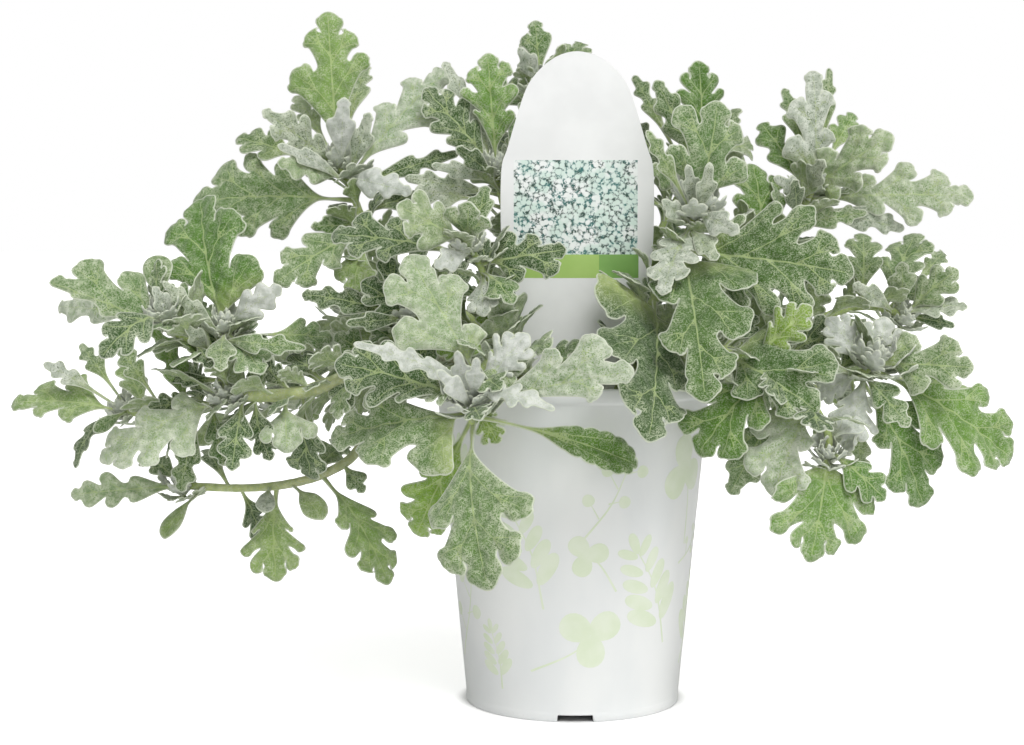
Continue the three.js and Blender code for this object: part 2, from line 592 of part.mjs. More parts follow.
// A tapering rod of a few sides along a line of points with radii.
function rodSolid(line, sides) {
  const vertices = [];
  const triangles = [];
  let across = null;
  line.forEach(({ at, radius }, i) => {
    const before = line[Math.max(i - 1, 0)].at;
    const after = line[Math.min(i + 1, line.length - 1)].at;
    const way = after.clone().sub(before).normalize();
    if (!across) across = new THREE.Vector3(1, 0.2, 0.1);
    across.addScaledVector(way, -across.dot(way)).normalize();
    const third = way.clone().cross(across);
    for (let k = 0; k < sides; k++) {
      const angle = (k / sides) * 2 * Math.PI;
      vertices.push(
        at
          .clone()
          .addScaledVector(across, radius * Math.cos(angle))
          .addScaledVector(third, radius * Math.sin(angle)),
      );
    }
    if (!i) return;
    for (let k = 0; k < sides; k++) {
      const a = (i - 1) * sides + k;
      const b = (i - 1) * sides + ((k + 1) % sides);
      triangles.push([a, b, b + sides], [a, b + sides, a + sides]);
    }
  });
  const last = (line.length - 1) * sides;
  for (let k = 1; k < sides - 1; k++) {
    triangles.push([0, k + 1, k], [last, last + k, last + k + 1]);
  }
  return solidOf(vertices, triangles);
}

// The pieces joined, without what the join seals inside or leaves loose.
function wholeOf(pieces) {
  const bodies = wasm.Manifold.union(pieces).decompose();
  return bodies.reduce((a, b) => (b.volume() > a.volume() ? b : a));
}

// Samples of a leaf's blade, which the clearance between leaves is measured on.
function bladeSamples(leaf) {
  const frame = leafFrame(leaf);
  const half = leaf.width / 2;
  const { start } = FORMS[leaf.form];
  const rows = Math.max(3, Math.round((frame.length * (1 - start)) / 5));
  const columns = Math.max(1, Math.round(half / 5));
  const samples = [];
  for (let i = 0; i <= rows; i++) {
    const t = start + 0.06 + ((0.94 - start) * i) / rows;
    const spread = half * Math.min(1, 0.25 + (t - start) * 2.6) * Math.min(1, 0.3 + (1 - t) * 3.2);
    for (let k = -columns; k <= columns; k++) {
      samples.push(surfacePoint(leaf, frame, t * frame.length, (spread * k) / columns, 0));
    }
  }
  return samples;
}

function potGap(point) {
  if (point.z > POT_HEIGHT + POT_CLEARANCE) return Infinity;
  const wall = point.z > POT_HEIGHT - RIM_HEIGHT ? RIM_RADIUS : FOOT_RADIUS + WALL_SLOPE * point.z;
  return Math.hypot(point.x, point.y) - wall;
}

// How much room a leaf has: the least of its samples' distances to what stands already, less what each
// of them needs.
function roomOf(samples, middle, reach, obstacles) {
  let room = Infinity;
  for (const other of obstacles) {
    if (other.middle.distanceTo(middle) > reach + other.reach + CLEARANCE) continue;
    for (const point of samples) {
      for (const spot of other.points) {
        room = Math.min(room, point.distanceTo(spot) - other.need);
      }
    }
  }
  for (const point of samples) {
    room = Math.min(room, potGap(point) - POT_CLEARANCE, point.z - POT_CLEARANCE);
  }
  return room;
}

function boundsOf(points) {
  const sphere = new THREE.Sphere().setFromPoints(points);
  return { middle: sphere.center, reach: sphere.radius };
}

// Bends a leaf clear of what stands already: its tip moves along the line of sight, so it shows where
// it did.
function settle(leaf, obstacles) {
  const wanted = leaf.tipDepth;
  let best = null;
  for (let k = 0; k < SHIFT_TRIES; k++) {
    leaf.tipDepth = wanted + SHIFT_STEP * (k % 2 ? (k + 1) / 2 : -k / 2);
    leaf.tip = leaf.tipAt(leaf.tipDepth);
    const samples = bladeSamples(leaf);
    const { middle, reach } = boundsOf(samples);
    const room = roomOf(samples, middle, reach, obstacles);
    const { tipDepth } = leaf;
    if (!best || room > best.room + 1e-6) best = { room, tipDepth, samples, middle, reach };
    if (room >= 0) break;
  }
  leaf.tipDepth = best.tipDepth;
  leaf.tip = leaf.tipAt(best.tipDepth);
  return { points: best.samples, middle: best.middle, reach: best.reach, fullNeed: CLEARANCE };
}

// A leaf's own traits, drawn by its number.
function traitsOf(number, more) {
  return {
    number,
    roll: more.roll ?? drawAround(ROLL, number, 1),
    bend: more.bend ?? drawAround(BEND, number, 2),
    fold: drawAround(FOLD, number, 3),
    twist: drawAround(TWIST, number, 4),
    wave: drawAround(WAVE, number, 5),
    phase: draw(number, 6) * 2 * Math.PI,
  };
}

let leafCount = 0;

function seenLeaf(row, perches) {
  const [baseX, baseZ, tipX, tipZ, width, dip, form, more] = row;
  const base = perchSeenAt(perches, baseX, baseZ);
  const depth = base.y;
  const traits = traitsOf(leafCount++, more);
  const seenLength = Math.hypot(tipX - baseX, tipZ - baseZ);
  const reach = dip * DIP_SHARE + drawAround([0, DEPTH_SPREAD * seenLength], traits.number, 8);
  const scale = (depth + reach / 2 - EYE.y) / -EYE.y;
  const trueWidth = (width * scale) / Math.cos(rad(Math.min(traits.roll, 40)));
  return {
    ...traits,
    form,
    base,
    lobes: more.lobes,
    seenBase: [baseX, baseZ],
    seenTip: [tipX, tipZ],
    seenWidth: width,
    width: trueWidth,
    tipDepth: depth + reach,
    tipAt: (y) => seen(tipX, tipZ, y),
  };
}

// Leaves of a back shoot go round its stem by the golden angle, larger lower down.
function ruledLeaves(lines, count, tip) {
  const [line] = lines;
  const outward = new THREE.Vector3(tip[0], tip[1], 0).normalize();
  const leaves = [];
  for (let i = 0; i < count; i++) {
    const number = leafCount++;
    const share = 0.42 + (0.58 * (i + 1)) / count;
    const place = share * (line.length - 1);
    const index = Math.min(Math.floor(place), line.length - 2);
    const base = line[index].at.clone().lerp(line[index + 1].at, place - index);
    const way = line[index + 1].at.clone().sub(line[index].at).normalize();
    const across = UP.clone().addScaledVector(way, -way.z).normalize();
    const third = way.clone().cross(across);
    const turn = rad(GOLDEN_ANGLE * i + 50);
    const size = BACK_LEAF * (1.12 - 0.5 * share) * (0.85 + 0.3 * draw(number, 7));
    const spray = across.multiplyScalar(Math.cos(turn)).addScaledVector(third, Math.sin(turn));
    const heading = spray.multiplyScalar(0.85).addScaledVector(way, 0.75).addScaledVector(UP, 0.1);
    const target = base.clone().addScaledVector(heading.normalize(), size);
    const look = outward.clone().multiplyScalar(0.8).addScaledVector(UP, 0.75).normalize();
    const shiftWay = outward.clone().multiplyScalar(0.6).addScaledVector(UP, 0.8);
    leaves.push({
      ...traitsOf(number, {}),
      form: i < count - 2 ? "oak" : "oak2",
      base,
      look,
      width: size * BACK_WIDTH,
      tipDepth: 0,
      tipAt: (shift) => target.clone().addScaledVector(shiftWay, shift),
    });
  }
  return leaves;
}

// The pot
function potSolid() {
  const foot = FOOT_RADIUS - FOOT_RING_WIDTH;
  const radiusAt = (z) => FOOT_RADIUS + WALL_SLOPE * z;
  const rimFoot = POT_HEIGHT - RIM_HEIGHT;
  const profile = [
    [0, 0],
    [CENTRE_PAD_RADIUS, 0],
    [CENTRE_PAD_RADIUS + 1, RECESS_HEIGHT],
    [foot, RECESS_HEIGHT],
    [foot, 0],
    [FOOT_RADIUS + FOOT_LIP, 0],
    [FOOT_RADIUS + FOOT_LIP, FOOT_STEP],
    [radiusAt(FOOT_STEP + SHOULDER), FOOT_STEP + SHOULDER],
    [radiusAt(rimFoot), rimFoot],
    [RIM_RADIUS, rimFoot + RIM_CORNER],
    [RIM_RADIUS, POT_HEIGHT - RIM_CORNER],
    [RIM_RADIUS - RIM_CORNER, POT_HEIGHT],
    [radiusAt(POT_HEIGHT) - WALL, POT_HEIGHT - 0.5],
    [radiusAt(FLOOR_TOP) - WALL, FLOOR_TOP],
    [0, FLOOR_TOP],
  ];
  const turned = new THREE.LatheGeometry(profile.map(([r, z]) => new THREE.Vector2(r, z)), POT_SIDES);
  let pot = solidOfGeometry(turned.rotateX(Math.PI / 2));
  for (let i = 0; i < DRAIN_COUNT; i++) {
    const angle = -Math.PI / 2 + (i * 2 * Math.PI) / DRAIN_COUNT;
    const slot = new THREE.BoxGeometry(DRAIN_LENGTH, DRAIN_WIDTH, DRAIN_HEIGHT + 1);
    slot.translate(FOOT_RADIUS - DRAIN_MIDDLE, 0, (DRAIN_HEIGHT - 1) / 2).rotateZ(angle);
    const drain = new THREE.BoxGeometry(OUTLET_LENGTH, DRAIN_WIDTH * OUTLET_SHARE, FLOOR_TOP);
    const outletAt = FOOT_RADIUS - FOOT_RING_WIDTH - OUTLET_INSET;
    drain.translate(outletAt, 0, FLOOR_TOP - RIM_CORNER).rotateZ(angle);
    pot = pot.subtract(solidOfGeometry(slot)).subtract(solidOfGeometry(drain));
  }
  return pot;
}

// The soil: a slightly mounded plug with a plain hole for each stem and a slot for the label.
function soilSolid(stems) {
  const inner = (z) => FOOT_RADIUS + WALL_SLOPE * z - WALL - TOUCH_GAP * 1.5;
  const low = FLOOR_TOP + TOUCH_GAP;
  const profile = [[0, low], [inner(low), low], [inner(SOIL_TOP - 2), SOIL_TOP - 2]];
  for (const share of [0.8, 0.5, 0.25, 0]) {
    profile.push([inner(SOIL_TOP) * share, SOIL_TOP - 1 + SOIL_MOUND * (1 - share)]);
  }
  const turned = new THREE.LatheGeometry(profile.map(([r, z]) => new THREE.Vector2(r, z)), SOIL_SIDES);
  turned.rotateX(Math.PI / 2);
  const spots = turned.attributes.position;
  for (let i = 0; i < spots.count; i++) {
    const x = spots.getX(i);
    const y = spots.getY(i);
    if (spots.getZ(i) > SOIL_TOP - 1.1 && Math.hypot(x, y) > 0.1) {
      spots.setZ(i, spots.getZ(i) + SOIL_WAVE * Math.sin(x * 0.31) * Math.cos(y * 0.27 + 1));
    }
  }
  let soil = solidOfGeometry(turned);
  for (const { at: bottom, radius } of stems) {
    const ends = [SOIL_TOP - ROOT_DEPTH - TOUCH_GAP, SOIL_TOP + HOLE_RISE];
    const line = ends.map((z) => ({ at: bottom.clone().setZ(z), radius: radius + HOLE_MARGIN }));
    soil = soil.subtract(rodSolid(line, HOLE_SIDES));
  }
  return soil.subtract(labelSolid(TOUCH_GAP));
}

// The label: an arched plate on a stake that tapers into the soil, grown all round by a margin.
function labelSolid(margin) {
  const at = (x, z) => {
    const place = seen(x, z, LABEL_DEPTH);
    return new THREE.Vector2(place.x, place.z);
  };
  const left = LABEL_OUTLINE.map(([x, z]) => at(x, z));
  const right = LABEL_OUTLINE.slice(1).map(([x, z]) => at(2 * LABEL_MIRROR - x, z));
  const stake = [
    new THREE.Vector2(LABEL_MIDDLE - STAKE_HALF, LABEL_FOOT + STAKE_POINT),
    new THREE.Vector2(LABEL_MIDDLE, LABEL_FOOT),
    new THREE.Vector2(LABEL_MIDDLE + STAKE_HALF, LABEL_FOOT + STAKE_POINT),
  ];
  const shape = new THREE.Shape([...left, ...stake, ...right.toReversed()]);
  const depth = LABEL_THICKNESS + 2 * margin;
  const plate = new THREE.ExtrudeGeometry(shape, { depth, bevelEnabled: false });
  plate.translate(-LABEL_MIDDLE, 0, 0).scale(1 + margin / 6, 1, 1).translate(LABEL_MIDDLE, -margin, 0);
  plate.rotateX(Math.PI / 2);
  return solidOfGeometry(plate.translate(0, LABEL_DEPTH + LABEL_THICKNESS / 2 + margin, 0));
}

const plant = new THREE.Group();

function addNode(name, solid, color, roughness) {
  const material = new THREE.MeshStandardMaterial({ color, roughness, metalness: 0 });
  const mesh = new THREE.Mesh(geometryOf(solid), material);
  mesh.name = name;
  plant.add(mesh);
}

const shoots = SHOOTS.map((shoot) => ({ ...shoot, lines: linesOf(shoot) }));
for (const [name, bearing, distance, tip, count] of BACK_SHOOTS) {
  const start = rootPlace([bearing, distance], ROOT_RISE);
  const end = new THREE.Vector3(...tip);
  const arch = start.clone().lerp(end, 0.3).setZ(Math.max(start.z, end.z * 0.75) + BACK_ARCH);
  const slope = start.clone().lerp(end, 0.68).setZ(arch.z * 0.4 + end.z * 0.6);
  const line = mainLine([bearing, distance], [arch, slope, end], ...BACK_RADIUS);
  shoots.push({ name, lines: [line], ruled: [count, tip] });
}

// Every stem stands before any leaf is bent clear.
const obstacles = [];
for (const shoot of shoots) {
  for (const line of shoot.lines) {
    for (let i = 1; i < line.length; i++) {
      const points = [0, 0.25, 0.5, 0.75].map((t) => line[i - 1].at.clone().lerp(line[i].at, t));
      if (points[0].z < SOIL_TOP) continue;
      const fullNeed = CLEARANCE + line[i].radius - 0.6;
      obstacles.push({ points, ...boundsOf(points), fullNeed, owner: shoot.name, stem: true });
    }
  }
}
// Points over the label's face, which leaves are bent clear of as well.
const labelPoints = [];
const guardHalf = (z) => {
  if (z < GUARD_NECK.below) return GUARD_NECK.half + (z - GUARD_NECK.from) * GUARD_NECK.slope;
  return z > GUARD_ARCH.above ? (GUARD_ARCH.top - z) * GUARD_ARCH.slope : GUARD_HALF;
};
for (let z = GUARD_LOW; z <= GUARD_HIGH; z += GUARD_STEP[1]) {
  for (let x = -guardHalf(z); x <= guardHalf(z); x += GUARD_STEP[0]) {
    labelPoints.push(seen(x + LABEL_MIRROR, z, LABEL_DEPTH));
  }
}
obstacles.push({ points: labelPoints, ...boundsOf(labelPoints), fullNeed: CLEARANCE, owner: "label" });

for (const shoot of shoots) {
  const perches = perchesOf(shoot.lines);
  shoot.leaves = shoot.ruled
    ? ruledLeaves(shoot.lines, ...shoot.ruled)
    : shoot.leaves.map((row) => seenLeaf(row, perches));
  for (const leaf of shoot.leaves) {
    const others = obstacles.filter((obstacle) => !(obstacle.owner === shoot.name && obstacle.stem));
    for (const other of others) {
      other.need = other.owner === shoot.name ? SISTER_CLEARANCE : other.fullNeed;
    }
    obstacles.push({ ...settle(leaf, others), owner: shoot.name });
  }
}

for (const shoot of shoots) {
  const pieces = shoot.lines.map((line) => rodSolid(line, STEM_SIDES));
  for (const leaf of shoot.leaves) pieces.push(bladeSolid(leaf));
  addNode(shoot.name, wholeOf(pieces), 0x8d9f7e, 0.85);
}
const roots = shoots.map((shoot) => shoot.lines[0][0]);
addNode("soil", soilSolid(roots), 0x3b2a20, 0.95);
addNode("pot", potSolid(), 0xf2f3f1, 0.45);
addNode("plant_label", labelSolid(0), 0xf4f5f3, 0.4);

export default plant;
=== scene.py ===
"""Dresses the potted artemisia: fine felted leaves and stems, compost with grains, a printed pot and label.

Lengths are millimetres until a mesh is made, in the frame of the part: +Z up, -Y towards the viewer, the
origin at the middle of the pot's base.
"""
import math
from itertools import combinations
from types import SimpleNamespace

import bpy
import numpy as np
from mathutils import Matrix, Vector
from mathutils.geometry import delaunay_2d_cdt


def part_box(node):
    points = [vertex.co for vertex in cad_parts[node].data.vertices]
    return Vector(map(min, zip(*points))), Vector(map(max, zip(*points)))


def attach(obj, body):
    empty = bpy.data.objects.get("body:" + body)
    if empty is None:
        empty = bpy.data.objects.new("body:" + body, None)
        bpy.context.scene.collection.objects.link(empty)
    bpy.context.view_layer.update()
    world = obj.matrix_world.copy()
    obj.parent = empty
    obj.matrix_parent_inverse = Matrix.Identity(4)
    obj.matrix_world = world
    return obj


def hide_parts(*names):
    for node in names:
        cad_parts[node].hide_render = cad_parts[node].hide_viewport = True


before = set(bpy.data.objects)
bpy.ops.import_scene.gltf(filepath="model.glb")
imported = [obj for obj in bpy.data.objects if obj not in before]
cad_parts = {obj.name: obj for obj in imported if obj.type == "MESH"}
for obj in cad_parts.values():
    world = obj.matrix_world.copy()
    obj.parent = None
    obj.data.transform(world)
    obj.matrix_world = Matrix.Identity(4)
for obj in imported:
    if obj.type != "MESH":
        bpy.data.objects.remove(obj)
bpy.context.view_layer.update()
MM = 0.001

# Pot, soil and label: the rim, the pot's height and the stake's point come from the frame.
RIM_RADIUS, POT_HEIGHT = np.array(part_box("pot")[1])[1:] / MM
LABEL_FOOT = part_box("plant_label")[0][2] / MM
FOOT_RADIUS = 43
WALL_SLOPE = 0.096
WALL = 1.2
RIM_HEIGHT = 6
FLOOR_TOP = 4.6
RECESS_HEIGHT = 3
CENTRE_PAD_RADIUS = 14
FOOT_RING_WIDTH = 5
FOOT_STEP = 3.3
DRAIN_COUNT = 3
DRAIN_WIDTH = 14
DRAIN_HEIGHT = 2.7
SOIL_TOP = 113.5
ROOT_DEPTH = 20
ROOT_RISE = 6
LABEL_DEPTH = -18
LABEL_MIRROR = 1.7
# Heights that the label's face is guarded over, the step across it, and its half widths there.
GUARD_HEIGHTS = range(130, 257, 6)
GUARD_STEP = 5
GUARD_HALF = 27.5
GUARD_NECK = {"below": 160, "half": 10, "from": 110, "slope": 0.35}
GUARD_ARCH = {"above": 236, "top": 262, "slope": 1.1}

# The rules that place the leaves, with the same numbers as in the part's source.
PETIOLE_HALF = 0.8
PERCH_STEP = 0.5
PERCH_APART = 0.8
LOBE_LEAN = 0.85
LOBE_FILL = 0.44
LOBE_ROUND = 0.55
LEAST_LOBE = 0.8
LOWEST_FOOT = 0.1
END_SHARE = 0.56
END_BACK = 0.8
LAST_LOBE = 0.88
SINUS_DEPTH = 0.62
CURL = 0.16
WAVE_SPEED = 9
WAVE_SLIP = 1.7
WAVE_REACH = 1.3
TWIST_START = 0.3
SIDE_LEAN = 0.35
DIP_SHARE = 1.6
DEPTH_SPREAD = 0.3
CLEARANCE = 3.2
SISTER_CLEARANCE = 1.8
SHIFT_STEP = 4
SHIFT_TRIES = 14
POT_CLEARANCE = 3
GOLDEN_ANGLE = 137.5
SMALL_LEAF = 10.5
BACK_LEAF = 50
BACK_WIDTH = 0.52
BACK_ARCH = 26
BACK_RADIUS = [2.2, 1.3]
# Where a back stem's arch and slope stand between its ends, and the shares of the heights that they have.
BACK_ARCH_PLACE = [0.3, 0.75]
BACK_SLOPE_PLACE = [0.68, 0.4, 0.6]
BACK_FROM = [0.42, 0.58]
BACK_SIZE = [1.12, 0.5]
BACK_SIZE_DRAW = [0.85, 0.3]
BACK_TURN = 50
BACK_TONES = "GGPDG"
BACK_HEADING = [0.85, 0.75, 0.1]
BACK_LOOK = [0.8, 0.75]
BACK_SHIFT = [0.6, 0.8]
# Samples of a blade for the clearance: their spacing, ends, and half width from the foot and from the tip.
SAMPLE_GAP = 5
SAMPLE_ENDS = [0.06, 0.94]
SAMPLE_FOOT = [0.25, 2.6]
SAMPLE_TIP = [0.3, 3.2]
# The steps that the solids' stem lines are cut from.
STEM_FINE = 24

# A leaf's traits as [middle, spread]: angles in degrees, the rest as shares of its length or half width.
ROLL = [16, 14]
BEND = [0.07, 0.035]
FOLD = [12, 6]
TWIST = [0, 16]
WAVE = [0.09, 0.03]
LOBE_SLIDE = [0, 0.025]
LOBE_REACH = [0.96, 0.12]

# The eye that the shoots' places are seen from: a place [x, z] is where it shows on the plane y = 0, with z
# from the pot's inner floor.
EYE = np.array([-24.7, -856.0, 195 + FLOOR_TOP])
EYE_PITCH = 4.4
UP = np.array([0.0, 0.0, 1.0])

# The camera: the photograph's frame and the lens that gives its scale.
IMAGE_WIDTH = 1024
LENS_PIXELS = 2114
SENSOR = 36

# Leaf forms: where the blade starts along the midrib, the lobes as [along, across], and the end lobe's
# half width.
FORMS = {
    "oak": {"start": 0.2, "lobes": [[0.5, 0.72], [0.7, 1], [0.86, 0.74]], "end": 0.38},
    "oak2": {"start": 0.24, "lobes": [[0.6, 0.92], [0.82, 0.86]], "end": 0.42},
    "trio": {"start": 0.3, "lobes": [[0.76, 0.95]], "end": 0.5},
    "stalked": {"start": 0.48, "lobes": [[0.72, 0.88], [0.87, 0.8]], "end": 0.42},
    "feather": {"start": 0.18, "lobes": [[0.45, 0.75], [0.63, 1], [0.8, 0.8]], "end": 0.32},
    "spoon": {"start": 0.35, "lobes": [], "end": 1},
}
SPOON_SIDE = [[0.58, 0.8], [0.8, 1], [0.94, 0.66]]

